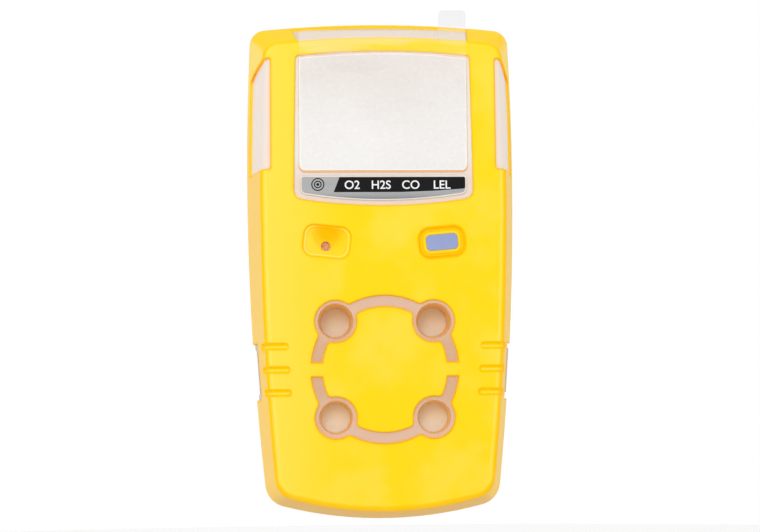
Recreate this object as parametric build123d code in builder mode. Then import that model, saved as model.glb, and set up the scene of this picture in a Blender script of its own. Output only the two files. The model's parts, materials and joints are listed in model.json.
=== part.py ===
"""Portable four-gas detector: an upright pocket instrument with an alligator clip on its back.

Millimetres. The design frame has +X to the wearer's left hand side of the front face (right in a front
view), +Y to the back and +Z up. Its origin is at the bottom centre of the body, on the parting plane
between the front and rear shells. On export every piece moves so that the origin is the clip's bite.
"""
import os
from math import cos, radians, sin

from build123d import *

os.makedirs("parts", exist_ok=True)

# ---- driving dimensions: body ------------------------------------------------------------------------
body_height = 113.0
front_depth = 15.0
rear_depth = 14.0
top_half_width = 29.6
shoulder_height = 111.35
waist_half_width = 30.08
waist_height = 57.6
bottom_half_width = 26.15
heel_height = 3.9
top_corner = 3.7
bottom_corner = 5.4

side_slope = 0.215
top_slope = 0.4
bottom_slope = 0.16
rear_slope = 0.14
bend_height = 61.5
bend_radius = 60.0
chin_slope = 0.068

front_edge_radius = 1.7
back_edge_radius = 3.5

# ---- driving dimensions: walls -----------------------------------------------------------------------
skin = 1.2
rim_step = 0.5
wall_inset = 3.1
rear_wall_front = rear_depth - wall_inset

# ---- driving dimensions: front face features ---------------------------------------------------------
opening_top_half = 19.4
opening_bottom_half = 19.95
lens_half = 18.65
lens_bottom = 77.1
lens_thickness = 1.8
window_half = 17.4
window_bottom = 78.4
window_top = 101.2
plate_half = 18.4
plate_top = 75.9
film_thickness = 0.15
film_top = 108.6
tab_left = 12.5
tab_right = 18.55
tab_top = 112.9

ring_height = 33.1
ring_outer = 16.4
ring_inner = 13.8
port_offset = 10.84
port_rise = 10.6
port_pad_radius = 4.72
port_sleeve_radius = 4.7
port_floor_radius = 3.2
port_taper = 8.5
port_spots = [
    (-port_offset, ring_height + port_rise),
    (port_offset, ring_height + port_rise),
    (-port_offset, ring_height - port_rise),
    (port_offset, ring_height - port_rise),
]

alarm_spot = (-12.7, 61.3)
alarm_hole_spot = (-12.9, 60.3)
alarm_hole_radius = 1.07
membrane_radius = 1.8
membrane_back = -13.3
membrane_thickness = 0.25
button_spot = (12.8, 61.1)
button_tilt = 5.0
button_travel = 0.5
key_size = (8.5, 5.1, 1.7)
key_hole = (8.9, 5.5, 1.9)
key_flange = (10.4, 7.0, 2.4)
key_groove = (10.2, 6.8, 2.4)
pad_size = (7.05, 3.55, 1.0)
alarm_rim_size = (10.6, 7.2, 2.4)
alarm_floor_size = (9.1, 5.8, 1.9)
alarm_tilt = -6.0

# ---- driving dimensions: inside ----------------------------------------------------------------------
board_front = 2.4
board_back = 4.0
board_inset = 5.6
seal_half = 0.9
sleeve_end = -8.2
alarm_boss_end = -8.6
filter_thickness = 0.4
gasket_thickness = 1.2
sensor_radius = 8.7
sensor_seat = 0.9
battery_front = 5.2
battery_back = 10.4

shell_screw_rows = [(22.2, 104.0), (22.4, 65.0), (18.4, 10.6)]
board_screw_rows = [(22.2, 95.6), (20.8, 55.4)]
shell_screw_spots = [(side * x, z) for x, z in shell_screw_rows for side in (-1, 1)]
board_screw_spots = [(side * x, z) for x, z in board_screw_rows for side in (-1, 1)] + [(0, 12.0)]
shell_post_radius = 2.5
board_post_radius = 1.9

# ---- driving dimensions: clip ------------------------------------------------------------------------
clip_half_width = 9.0
clip_sheet = 0.8
clip_pad = rear_depth - clip_sheet
clip_low = 58.4
clip_high = 98.0
pivot_y = 18.6
pivot_z = 84.0
pin_radius = 1.5
lever_sheet = 1.0
bite_z = 60.0
bite_y = rear_depth


def at_depth(y):
    """Sketch plane facing the front, X to the right and Z up, at one depth."""
    return Plane.XZ.offset(-y)


def outline(inset, side_draft=0.0, top_draft=0.0, bottom_draft=0.0):
    """Front outline of the body as a face, moved in by an inset and by the draft of its flanks."""
    side_in = inset + side_draft
    top_in = inset + top_draft
    bottom_in = inset + bottom_draft
    top_half = top_half_width - side_in
    waist_half = waist_half_width - side_in
    bottom_half = bottom_half_width - side_in
    crown = body_height - top_in
    shoulder = shoulder_height - top_in
    heel = heel_height + bottom_in
    with BuildSketch() as face:
        with BuildLine():
            ThreePointArc((-top_half, shoulder), (0, crown), (top_half, shoulder))
            ThreePointArc((top_half, shoulder), (waist_half, waist_height), (bottom_half, heel))
            ThreePointArc((bottom_half, heel), (0, bottom_in), (-bottom_half, heel))
            ThreePointArc((-bottom_half, heel), (-waist_half, waist_height), (-top_half, shoulder))
        make_face()
        fillet(face.vertices().group_by(Axis.Y)[-1], max(top_corner - inset, 1.0))
        fillet(face.vertices().group_by(Axis.Y)[0], max(bottom_corner - inset, 1.2))
    return face.sketch


def front_form(inset, edge_radius=0.0):
    """Solid front half of the body, with every face moved in by one inset."""
    reach = front_depth + 1
    face_y = inset - front_depth
    with BuildPart() as form:
        with BuildSketch(at_depth(0)):
            add(outline(inset))
        with BuildSketch(at_depth(-reach)):
            add(outline(inset, side_slope * reach, top_slope * reach, bottom_slope * reach))
        loft(ruled=True)
        with BuildSketch(Plane.YZ) as profile:
            with BuildLine():
                Polyline(
                    (1, -5),
                    (1, body_height + 5),
                    (face_y, body_height + 5),
                    (face_y, bend_height),
                    (face_y + chin_slope * (bend_height + 5), -5),
                    close=True,
                )
            make_face()
            fillet(profile.vertices().sort_by_distance((face_y, bend_height))[0], bend_radius)
        extrude(amount=body_height, both=True, mode=Mode.INTERSECT)
        if edge_radius > 0:
            front_edges = form.edges().filter_by(lambda edge: edge.center().Y < -9)
            fillet(front_edges.filter_by(Axis.X, reverse=True), edge_radius)
    return form.part


def rear_form(inset, edge_radius=0.0):
    """Solid rear half of the body, with every face moved in by one inset."""
    reach = rear_depth - inset
    draft = rear_slope * reach
    with BuildPart() as form:
        with BuildSketch(at_depth(0)):
            add(outline(inset))
        with BuildSketch(at_depth(reach)):
            add(outline(inset, draft, draft, draft))
        loft(ruled=True)
        if edge_radius > 0:
            fillet(form.faces().sort_by(Axis.Y)[-1].edges(), edge_radius)
    return form.part


def plate(face, y, thickness):
    """Flat plate of one outline, from depth y towards the front."""
    with BuildPart() as solid:
        with BuildSketch(at_depth(y)):
            add(face)
        extrude(amount=thickness)
    return solid.part


def posts(spots, radius, y, length):
    """Round posts at several places, from depth y towards the front."""
    with BuildPart() as group:
        with BuildSketch(at_depth(y)):
            with Locations(*spots):
                Circle(radius)
        extrude(amount=length)
    return group.part


def frame_ring(outer_inset, inner_inset, y, thickness):
    """Ring that follows the body outline between two insets."""
    with BuildSketch() as ring:
        add(outline(outer_inset))
        add(outline(inner_inset), mode=Mode.SUBTRACT)
    return plate(ring.sketch, y, thickness)


def save(builder, name):
    """Label a finished piece and write it with the clip's bite as its origin."""
    piece = builder.part.moved(Location((0, -bite_y, -bite_z)))
    piece.label = name
    export_step(piece, f"parts/{name}.step")


# ---- outlines of the front face ----------------------------------------------------------------------


def opening_face():
    """Outline of the display opening in the overmold."""
    with BuildSketch() as face:
        with BuildLine():
            ThreePointArc((-opening_top_half, 102.9), (0, 104.0), (opening_top_half, 102.9))
            Line((opening_top_half, 102.9), (opening_bottom_half, 71.0))
            ThreePointArc((opening_bottom_half, 71.0), (0, 69.3), (-opening_bottom_half, 71.0))
            Line((-opening_bottom_half, 71.0), (-opening_top_half, 102.9))
        make_face()
        fillet(face.vertices().group_by(Axis.Y)[-1], 0.9)
        fillet(face.vertices().group_by(Axis.Y)[0], 2.2)
    return face.sketch


def lens_face(inset=0.0):
    """Outline of the display lens."""
    half = lens_half - inset
    side_top = 102.35 - inset
    low = lens_bottom + inset
    with BuildSketch() as face:
        with BuildLine():
            ThreePointArc((-half, side_top), (0, side_top + 1.05), (half, side_top))
            Polyline((half, side_top), (half, low), (-half, low), (-half, side_top))
        make_face()
        fillet(face.vertices().group_by(Axis.Y)[0], 1.3)
    return face.sketch


def nameplate_face():
    """Outline of the nameplate below the lens, straight on top and bowed at the bottom."""
    low = 71.95
    with BuildSketch() as face:
        with BuildLine():
            ThreePointArc((-plate_half, low), (0, low - 1.5), (plate_half, low))
            Line((plate_half, low), (plate_half, plate_top))
            Line((plate_half, plate_top), (-plate_half, plate_top))
            Line((-plate_half, plate_top), (-plate_half, low))
        make_face()
        fillet(face.vertices().group_by(Axis.Y)[0], 1.3)
        fillet(face.vertices().group_by(Axis.Y)[-1], 0.4)
    return face.sketch


def sensor_ring_face():
    """Exposed ring that joins the four sensor ports, bridged at both sides by the overmold."""
    with BuildSketch() as face:
        with Locations((0, ring_height)):
            Circle(ring_outer)
            Circle(ring_inner, mode=Mode.SUBTRACT)
        with Locations(*port_spots):
            Circle(port_pad_radius)
        fillet(face.vertices(), 1.0)
        with Locations((-ring_outer, ring_height), (ring_outer, ring_height)):
            Rectangle(8, 3.0, mode=Mode.SUBTRACT)
    return face.sketch


def light_bar_face():
    """Exposed alarm light bar along the top edge, with ends that lean outwards."""
    with BuildSketch() as face:
        with BuildLine():
            ThreePointArc((-19.0, 106.4), (0, 107.2), (19.0, 106.4))
            Polyline((19.0, 106.4), (22.0, 119.0), (-22.0, 119.0), (-19.0, 106.4))
        make_face()
    return face.sketch


def side_light_face():
    """Exposed alarm light window at the right-hand edge of the front face."""
    with BuildSketch() as face:
        with BuildLine():
            ThreePointArc((24.95, 102.5), (27.6, 101.35), (29.6, 98.7))
            Polyline((29.6, 98.7), (35.0, 93.0), (35.0, 77.0), (24.95, 77.4), (24.95, 102.5))
        make_face()
        fillet(face.vertices().group_by(Axis.X)[0], 0.6)
    return face.sketch


def tilted_pill(width, height, corner, spot, tilt):
    """Rounded rectangle turned a few degrees about its own centre."""
    with BuildSketch() as face:
        with Locations(Location((spot[0], spot[1], 0), (0, 0, tilt))):
            RectangleRounded(width, height, corner)
    return face.sketch


# ---- body forms shared by the shells and the overmold ------------------------------------------------

front_outer = front_form(0, front_edge_radius)
front_rim = front_form(rim_step, front_edge_radius - rim_step)
front_dish = front_form(0.7, 1.0)
front_recess = front_form(0.9, 0.8)
front_core = front_form(skin, 0.6)
front_cavity = front_form(wall_inset)
front_trim = front_form(2.0)

rear_outer = rear_form(0, back_edge_radius)
rear_rim = rear_form(rim_step, back_edge_radius - rim_step)
rear_core = rear_form(skin, back_edge_radius - skin)
rear_cavity = rear_form(wall_inset, 0.8)
rear_trim = rear_form(2.0)

front_reach = front_depth + 1
light_bar_back = 1.6
side_light_back = 2.6

with BuildPart() as front_windows:
    add(plate(opening_face(), -12.0, 4))
    add(plate(sensor_ring_face(), -9.0, 7))
    add(plate(light_bar_face(), -light_bar_back, front_reach - light_bar_back))
    add(plate(side_light_face(), -side_light_back, front_reach - side_light_back))
    mirror(plate(side_light_face(), -side_light_back, front_reach - side_light_back), about=Plane.YZ)

latch_height = 33.0
latch_length = 12.6
latch_front = -5.0
latch_back = 9.5
latch_depth = latch_back - latch_front
latch_middle = (latch_front + latch_back) / 2
nub_length = 1.3
nub_width = 7.0
nub_rise = (latch_length - nub_length) / 2

with BuildPart() as latch_notches:
    for side in (-1, 1):
        with Locations((side * waist_half_width, latch_middle, latch_height)):
            Box(12, latch_depth, latch_length)

with BuildPart() as latch_nubs:
    with Locations((0, 0, latch_height + nub_rise), (0, 0, latch_height - nub_rise)):
        Box(3 * waist_half_width, nub_width, nub_length)

# ---- overmold and front shell ------------------------------------------------------------------------

groove_height = 1.25

with BuildPart() as grip_grooves:
    with BuildSketch(at_depth(-9.0)):
        for height, inner in ((38.3, 21.4), (33.15, 21.0), (28.1, 20.7)):
            with Locations((inner + 3.7, height), (-inner - 3.7, height)):
                SlotOverall(7.4, groove_height)
    extrude(amount=7)
    add(front_rim, mode=Mode.SUBTRACT)

with BuildPart() as alarm_rim:
    add(plate(tilted_pill(*alarm_rim_size, alarm_spot, alarm_tilt), -12.0, 4))
    add(front_rim, mode=Mode.SUBTRACT)

with BuildPart() as alarm_floor:
    add(plate(tilted_pill(*alarm_floor_size, alarm_spot, alarm_tilt), -12.0, 4))
    add(front_dish, mode=Mode.SUBTRACT)

scoop_plane = Plane(origin=(alarm_hole_spot[0], -14.3, 64.0), x_dir=(1, 0, 0), z_dir=(0, -1, -0.1))

with BuildPart() as alarm_scoop:
    with BuildSketch(scoop_plane) as scoop_face:
        with BuildLine():
            Polyline((-3.3, -0.1), (3.0, -0.5), (1.1, -4.6), (-1.0, -4.6), close=True)
        make_face()
        fillet(scoop_face.vertices(), 0.6)
    extrude(amount=1.5)

with BuildPart() as button_groove:
    add(plate(tilted_pill(*key_groove, button_spot, button_tilt), -12.0, 4))
    add(front_recess, mode=Mode.SUBTRACT)

with BuildPart() as front_overmold:
    add(front_outer)
    add(front_core, mode=Mode.SUBTRACT)
    add(front_windows.part, mode=Mode.SUBTRACT)
    add(latch_notches.part, mode=Mode.SUBTRACT)
    add(grip_grooves.part, mode=Mode.SUBTRACT)
    add(alarm_rim.part, mode=Mode.SUBTRACT)
    add(alarm_floor.part, mode=Mode.SUBTRACT)
    add(alarm_scoop.part, mode=Mode.SUBTRACT)
    add(button_groove.part, mode=Mode.SUBTRACT)
    add(plate(tilted_pill(*key_hole, button_spot, button_tilt), -12.0, 4), mode=Mode.SUBTRACT)
    add(posts([alarm_hole_spot], alarm_hole_radius, -12.0, 4), mode=Mode.SUBTRACT)

with BuildPart() as raised_windows:
    add(front_windows.part)
    add(latch_nubs.part)
    add(front_rim, mode=Mode.INTERSECT)

with BuildPart() as front_posts:
    add(posts(shell_screw_spots, shell_post_radius, 0, front_depth))
    add(posts(board_screw_spots, board_post_radius, 0, front_depth))
    add(posts(port_spots, port_sleeve_radius, sleeve_end, 6))
    add(posts([alarm_hole_spot], 2.6, alarm_boss_end, 6))
    add(frame_ring(2.2, 5.2, -seal_half, 2.0))
    add(front_trim, mode=Mode.INTERSECT)
    add(posts(board_screw_spots, board_post_radius, board_front, board_front))

with BuildPart() as front_shell:
    add(front_core)
    add(raised_windows.part)
    add(front_cavity, mode=Mode.SUBTRACT)
    add(front_posts.part)
    add(plate(lens_face(-0.05), lens_thickness - front_depth, 3), mode=Mode.SUBTRACT)
    with BuildSketch(at_depth(-11.0)):
        with Locations((0, (window_bottom + window_top) / 2)):
            RectangleRounded(2 * window_half, window_top - window_bottom, 0.8)
    extrude(amount=4, mode=Mode.SUBTRACT)
    with BuildSketch(at_depth(sleeve_end)):
        with Locations(*port_spots):
            Circle(port_floor_radius)
    extrude(amount=7, taper=-port_taper, mode=Mode.SUBTRACT)
    add(posts([alarm_hole_spot], alarm_hole_radius, -8.0, 8), mode=Mode.SUBTRACT)
    add(posts([alarm_hole_spot], membrane_radius, membrane_back, 2), mode=Mode.SUBTRACT)
    add(plate(tilted_pill(*key_hole, button_spot, button_tilt), -11.0, 5), mode=Mode.SUBTRACT)
    add(posts(shell_screw_spots, 1.6, 0, 5.0), mode=Mode.SUBTRACT)
    add(posts(board_screw_spots, 0.9, board_front, 7.0), mode=Mode.SUBTRACT)

save(front_overmold, "front_overmold")
save(front_shell, "front_shell")

# ---- display window, film, nameplate -----------------------------------------------------------------

with BuildPart() as display_lens:
    add(plate(lens_face(), lens_thickness - front_depth, lens_thickness))
    chamfer(display_lens.faces().sort_by(Axis.Y)[0].edges(), 0.15)
save(display_lens, "display_lens")

with BuildPart() as screen_film:
    with BuildSketch(at_depth(-front_depth)) as film_sheet:
        with BuildLine():
            Polyline(
                (-lens_half, film_top),
                (tab_left, film_top),
                (tab_left, tab_top),
                (tab_right, tab_top),
                (tab_right, film_top),
                (lens_half, film_top),
                (lens_half, lens_bottom),
                (-lens_half, lens_bottom),
                close=True,
            )
        make_face()
        film_corners = film_sheet.vertices().group_by(Axis.Y)
        fillet(film_corners[0] + film_corners[-1], 0.9)
    extrude(amount=film_thickness)
save(screen_film, "screen_film")

with BuildPart() as nameplate:
    add(plate(nameplate_face(), rim_step - front_depth, 0.35))
save(nameplate, "nameplate")

# ---- alarm key ---------------------------------------------------------------------------------------

key_face = -14.85
pad_face = -15.05
pad_seat = -14.45
flange_back = -10.6
plunger_end = -3.0

with BuildPart() as button_key:
    add(plate(tilted_pill(*key_size, button_spot, button_tilt), flange_back, flange_back - key_face))
    fillet(button_key.faces().sort_by(Axis.Y)[0].edges(), 0.5)
    add(plate(tilted_pill(*key_flange, button_spot, button_tilt), flange_back, 0.8))
    add(posts([button_spot], 1.8, plunger_end, plunger_end - flange_back))
    add(plate(tilted_pill(*pad_size, button_spot, button_tilt), pad_seat, 2), mode=Mode.SUBTRACT)
save(button_key, "button_key")

with BuildPart() as button_pad:
    add(plate(tilted_pill(*pad_size, button_spot, button_tilt), pad_seat, pad_seat - pad_face))
    fillet(button_pad.faces().sort_by(Axis.Y)[0].edges(), 0.2)
save(button_pad, "button_pad")

stem_front = plunger_end + 0.05
stem_back = -1.3

with BuildPart() as switch_body:
    with Locations((button_spot[0], 0.25, button_spot[1])):
        Box(6.0, 2 * (board_front - 0.25), 6.0)
    chamfer(switch_body.edges().filter_by(Axis.Y), 0.6)
    add(posts([button_spot], 1.7, stem_back + button_travel + 0.1, 3), mode=Mode.SUBTRACT)
save(switch_body, "switch_body")

with BuildPart() as switch_stem:
    add(posts([button_spot], 1.6, stem_back, stem_back - stem_front))
save(switch_stem, "switch_stem")

# ---- display module ----------------------------------------------------------------------------------

glass_front = -11.5
glass_back = -9.6
light_panel_back = -8.4
frame_half = 19.0
frame_bottom = 75.6
frame_top = 103.6
frame_wall = 1.1
frame_depth = board_front - glass_back
inner_half = frame_half - frame_wall
inner_bottom = frame_bottom + frame_wall
inner_top = frame_top - frame_wall


def box_plate(half_width, bottom, top, y, thickness, corner=0.5):
    """Rounded rectangular plate centred on X between two heights, from depth y towards the front."""
    with BuildSketch() as face:
        with Locations((0, (bottom + top) / 2)):
            RectangleRounded(2 * half_width, top - bottom, corner)
    return plate(face.sketch, y, thickness)


with BuildPart() as lcd_gasket:
    add(box_plate(18.3, 76.4, 103.0, glass_front, 0.4))
    add(box_plate(window_half, window_bottom, window_top, glass_front, 0.4), mode=Mode.SUBTRACT)
save(lcd_gasket, "lcd_gasket")

with BuildPart() as lcd_glass:
    add(box_plate(18.2, 76.5, 102.9, -10.5, -10.5 - glass_front, 0.3))
    add(box_plate(18.2, 79.0, 102.9, glass_back, glass_back + 10.5, 0.3))
save(lcd_glass, "lcd_glass")

with BuildPart() as backlight_panel:
    add(box_plate(inner_half - 0.1, 79.0, inner_top - 0.1, light_panel_back, 1.2, 0.3))
save(backlight_panel, "backlight_panel")

with BuildPart() as lcd_frame:
    add(box_plate(frame_half, frame_bottom, frame_top, board_front, frame_depth, 0.8))
    add(box_plate(inner_half, inner_bottom, inner_top, board_front, frame_depth), mode=Mode.SUBTRACT)
    add(box_plate(inner_half, 79.0, inner_top, light_panel_back + 1.0, 1.0))
    add(box_plate(inner_half - 1.2, 80.2, inner_top - 1.2, light_panel_back + 1.0, 1.0), mode=Mode.SUBTRACT)
save(lcd_frame, "lcd_frame")

with BuildPart() as lcd_connector:
    add(box_plate(16.0, 76.9, 78.6, board_front, board_front + 10.5))
save(lcd_connector, "lcd_connector")

# ---- main board --------------------------------------------------------------------------------------

with BuildPart() as main_board:
    add(plate(outline(board_inset), board_back, board_back - board_front))
    add(posts(shell_screw_spots, 3.0, board_back, 2), mode=Mode.SUBTRACT)
    add(posts(board_screw_spots, 1.1, board_back, 2), mode=Mode.SUBTRACT)
save(main_board, "main_board")

with BuildPart() as board_screws:
    add(posts(board_screw_spots, 1.8, board_back + 1.1, 1.1))
    fillet(board_screws.faces().sort_by(Axis.Y)[-1].edges(), 0.3)
    add(posts(board_screw_spots, 0.85, board_back, 6.5))
    with BuildSketch(at_depth(board_back + 1.2)):
        with Locations(*board_screw_spots):
            RegularPolygon(0.8, 6)
    extrude(amount=0.7, mode=Mode.SUBTRACT)
save(board_screws, "board_screws")


def chip(x, z, width, height, thickness, on_front=True):
    """Rectangular component standing on one face of the main board."""
    y = board_front if on_front else board_back + thickness
    with BuildSketch() as face:
        with Locations((x, z)):
            Rectangle(width, height)
    return plate(face.sketch, y, thickness)


with BuildPart() as board_components:
    add(chip(-7.0, 92.0, 9.0, 9.0, 1.2))
    add(chip(7.0, 94.0, 6.0, 5.0, 1.0))
    add(chip(7.5, 85.5, 4.0, 4.0, 1.0))
    add(chip(0.0, 33.1, 3.4, 5.0, 1.2))
    add(chip(0.0, 58.0, 5.0, 4.0, 1.2))
    for step in range(6):
        add(chip(-13.0 + 2.4 * step, 83.0, 1.0, 1.8, 0.6))
        add(chip(-3.0 + 1.6 * step, 68.5, 0.9, 1.6, 0.6))
        add(chip(-6.0 + 2.4 * step, 70.0, 1.2, 2.0, 0.7, on_front=False))
    add(chip(-13.0, 78.0, 6.0, 6.0, 2.8, on_front=False))
    add(chip(13.0, 90.0, 7.0, 7.0, 1.2, on_front=False))
    add(chip(-14.0, 90.0, 3.5, 7.3, 1.9, on_front=False))
    add(chip(12.0, 78.0, 8.0, 4.0, 3.6, on_front=False))
save(board_components, "board_components")

with BuildPart() as alarm_lights:
    for x in (-12.0, -4.0, 4.0, 12.0):
        add(chip(x, 105.4, 2.4, 1.4, 1.2))
    for z in (80.0, 88.5):
        add(chip(22.3, z, 1.6, 2.6, 1.2))
        add(chip(-22.3, z, 1.6, 2.6, 1.2))
save(alarm_lights, "alarm_lights")

# ---- buzzer ------------------------------------------------------------------------------------------

buzzer_front = -7.4
buzzer_spot = (-12.9, 61.0)

with BuildPart() as buzzer:
    add(posts([buzzer_spot], 6.3, board_front, board_front - buzzer_front))
    fillet(buzzer.faces().sort_by(Axis.Y)[0].edges(), 0.6)
    add(posts([alarm_hole_spot], 1.2, buzzer_front + 1.5, 3), mode=Mode.SUBTRACT)
save(buzzer, "buzzer")

with BuildPart() as buzzer_gasket:
    add(posts([alarm_hole_spot], 3.2, buzzer_front, buzzer_front - alarm_boss_end))
    add(posts([alarm_hole_spot], 1.6, buzzer_front, buzzer_front - alarm_boss_end), mode=Mode.SUBTRACT)
save(buzzer_gasket, "buzzer_gasket")

with BuildPart() as buzzer_membrane:
    add(posts([alarm_hole_spot], membrane_radius, membrane_back, membrane_thickness))
save(buzzer_membrane, "buzzer_membrane")

# ---- sensors -----------------------------------------------------------------------------------------

gasket_front = sleeve_end + filter_thickness
sensor_front = gasket_front + gasket_thickness

with BuildPart() as port_filters:
    add(posts(port_spots, 4.5, gasket_front, filter_thickness))
save(port_filters, "port_filters")

with BuildPart() as sensor_gasket:
    with BuildSketch(at_depth(sensor_front)):
        with Locations((0, ring_height)):
            RectangleRounded(38.6, 38.2, 8.0)
        with Locations(*port_spots):
            Circle(3.2, mode=Mode.SUBTRACT)
        with Locations((0, ring_height)):
            RectangleRounded(8.0, 8.0, 2.0, mode=Mode.SUBTRACT)
    extrude(amount=gasket_thickness)
save(sensor_gasket, "sensor_gasket")

sensor_names = ["oxygen_sensor", "hydrogen_sulfide_sensor", "carbon_monoxide_sensor", "combustible_sensor"]
pin_turns = (90, 210, 330)


def pin_spots(spot):
    """Three pin places on one sensor's circle."""
    return [(spot[0] + 5.5 * cos(radians(turn)), spot[1] + 5.5 * sin(radians(turn))) for turn in pin_turns]


for name, spot in zip(sensor_names, port_spots):
    with BuildPart() as sensor:
        add(posts([spot], sensor_radius, sensor_seat, sensor_seat - sensor_front))
        fillet(sensor.edges().filter_by(GeomType.CIRCLE), 0.5)
        add(posts([spot], 2.6, sensor_front + 0.4, 1), mode=Mode.SUBTRACT)
        add(posts(pin_spots(spot), 0.5, sensor_seat + 1.2, 1.4))
    save(sensor, name)

with BuildPart() as sensor_sockets:
    for spot in port_spots:
        add(posts(pin_spots(spot), 1.3, board_front, board_front - sensor_seat - 0.05))
        add(posts(pin_spots(spot), 0.55, board_front, 2), mode=Mode.SUBTRACT)
save(sensor_sockets, "sensor_sockets")

# ---- battery -----------------------------------------------------------------------------------------

with BuildPart() as battery:
    add(box_plate(17.0, 14.5, 62.0, battery_back, battery_back - battery_front, 2.0))
    fillet(battery.faces().filter_by(Axis.Y).edges(), 1.2)
    add(box_plate(15.5, 61.0, 65.0, battery_back - 1.5, 2.0))
save(battery, "battery")

with BuildPart() as battery_foam:
    add(box_plate(14.0, 18.0, 58.0, rear_wall_front, rear_wall_front - battery_back, 2.0))
save(battery_foam, "battery_foam")

# ---- vibration motor ---------------------------------------------------------------------------------

motor_y = 6.6
motor_z = 99.0
motor_radius = 2.2
shaft_radius = 0.4
weight_left = -3.6
weight_right = -0.8

with BuildPart() as vibration_motor:
    with BuildSketch(Plane.YZ):
        with Locations((motor_y, motor_z)):
            Circle(motor_radius)
    extrude(amount=9.0)
    fillet(vibration_motor.edges().filter_by(GeomType.CIRCLE), 0.3)
    with BuildSketch(Plane.YZ):
        with Locations((motor_y, motor_z)):
            Circle(shaft_radius + 0.08)
    extrude(amount=2.6, mode=Mode.SUBTRACT)
save(vibration_motor, "vibration_motor")

with BuildPart() as motor_weight:
    with BuildSketch(Plane.YZ.offset(weight_left)):
        with Locations((motor_y, motor_z)):
            Circle(1.9)
            with Locations((0, 2.4)):
                Rectangle(4.2, 4.0, mode=Mode.SUBTRACT)
            Circle(0.9)
    extrude(amount=weight_right - weight_left)
    with BuildSketch(Plane.YZ.offset(weight_left)):
        with Locations((motor_y, motor_z)):
            Circle(shaft_radius)
    extrude(amount=2.4 - weight_left)
save(motor_weight, "motor_weight")

with BuildPart() as motor_boot:
    with BuildSketch(Plane.YZ.offset(1.4)):
        with Locations(((board_back + 9.4) / 2, motor_z)):
            RectangleRounded(9.4 - board_back, 6.4, 1.0)
        with Locations((motor_y, motor_z)):
            Circle(motor_radius, mode=Mode.SUBTRACT)
    extrude(amount=6.4)
save(motor_boot, "motor_boot")

# ---- seal and rear shell -----------------------------------------------------------------------------

with BuildPart() as perimeter_seal:
    add(frame_ring(3.6, 4.8, seal_half, 2 * seal_half))
    fillet(perimeter_seal.faces().filter_by(Axis.Y).edges(), 0.3)
save(perimeter_seal, "perimeter_seal")

label_low = 19.0
label_high = 51.0
pad_half = clip_half_width + 2.4
pad_low = 57.0
pad_high = 99.5
contact_height = 12.2
contact_spots = [(-8.0, contact_height), (8.0, contact_height)]

with BuildPart() as rear_windows:
    add(box_plate(18.0, label_low - 1, label_high + 1, rear_depth + 1, 4, 2.5))
    add(box_plate(pad_half, pad_low, pad_high, rear_depth + 1, 4, 3.0))
    add(box_plate(12.0, contact_height - 3.2, contact_height + 3.2, rear_depth + 1, 4, 2.5))
    add(box_plate(20.0, 106.0, 119.0, rear_depth - 4.0, rear_depth - 7.5))

with BuildPart() as rear_overmold:
    add(rear_outer)
    add(rear_core, mode=Mode.SUBTRACT)
    add(rear_windows.part, mode=Mode.SUBTRACT)
    add(latch_notches.part, mode=Mode.SUBTRACT)
    add(posts(shell_screw_spots, 2.6, rear_depth + 1, 6), mode=Mode.SUBTRACT)
save(rear_overmold, "rear_overmold")

with BuildPart() as rear_raised:
    add(rear_windows.part)
    add(latch_nubs.part)
    add(rear_rim, mode=Mode.INTERSECT)
    add(box_plate(pad_half, pad_low, pad_high, rear_depth + 1, 1 + clip_sheet, 3.0), mode=Mode.SUBTRACT)

screw_seat = 11.2
clip_screw_spot = (0, 75.0)

with BuildPart() as rear_posts:
    add(posts(shell_screw_spots, shell_post_radius, rear_depth, rear_depth))
    add(frame_ring(2.2, 5.2, seal_half + 2.0, 2.0))
    add(posts([clip_screw_spot], 3.2, rear_depth, rear_depth - 8.2))
    add(rear_trim, mode=Mode.INTERSECT)

with BuildPart() as rear_shell:
    add(rear_core)
    add(rear_raised.part)
    add(rear_cavity, mode=Mode.SUBTRACT)
    add(rear_posts.part)
    add(posts(shell_screw_spots, 1.1, rear_depth, rear_depth), mode=Mode.SUBTRACT)
    add(posts(shell_screw_spots, 2.05, rear_depth, rear_depth - screw_seat), mode=Mode.SUBTRACT)
    add(posts([clip_screw_spot], 2.0, rear_depth, rear_depth - 8.8), mode=Mode.SUBTRACT)
    add(posts(contact_spots, 1.4, rear_depth, 5), mode=Mode.SUBTRACT)
    add(box_plate(3.2, contact_height - 1.8, contact_height + 1.8, rear_depth, 5, 1.0), mode=Mode.SUBTRACT)
save(rear_shell, "rear_shell")

with BuildPart() as shell_screws:
    add(posts(shell_screw_spots, 1.9, screw_seat + 1.5, 1.5))
    fillet(shell_screws.faces().sort_by(Axis.Y)[-1].edges(), 0.3)
    add(posts(shell_screw_spots, 0.95, screw_seat, 14.0))
    with BuildSketch(at_depth(screw_seat + 1.6)):
        with Locations(*shell_screw_spots):
            RegularPolygon(0.9, 6)
    extrude(amount=1.0, mode=Mode.SUBTRACT)
save(shell_screws, "shell_screws")

with BuildPart() as shell_inserts:
    add(posts(shell_screw_spots, 1.58, 0, 4.0))
    add(posts(shell_screw_spots, 1.0, 0, 4.0), mode=Mode.SUBTRACT)
save(shell_inserts, "shell_inserts")

with BuildPart() as rating_label:
    add(box_plate(17.2, label_low, label_high, rear_depth - rim_step + 0.2, 0.2, 2.0))
save(rating_label, "rating_label")

with BuildPart() as charge_contacts:
    add(posts(contact_spots, 1.35, rear_depth - rim_step + 0.1, 3.5))
    fillet(charge_contacts.faces().sort_by(Axis.Y)[-1].edges(), 0.2)
    add(posts(contact_spots, 0.7, rear_depth - 3.5, rear_depth - 3.5 - board_back))
save(charge_contacts, "charge_contacts")

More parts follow.
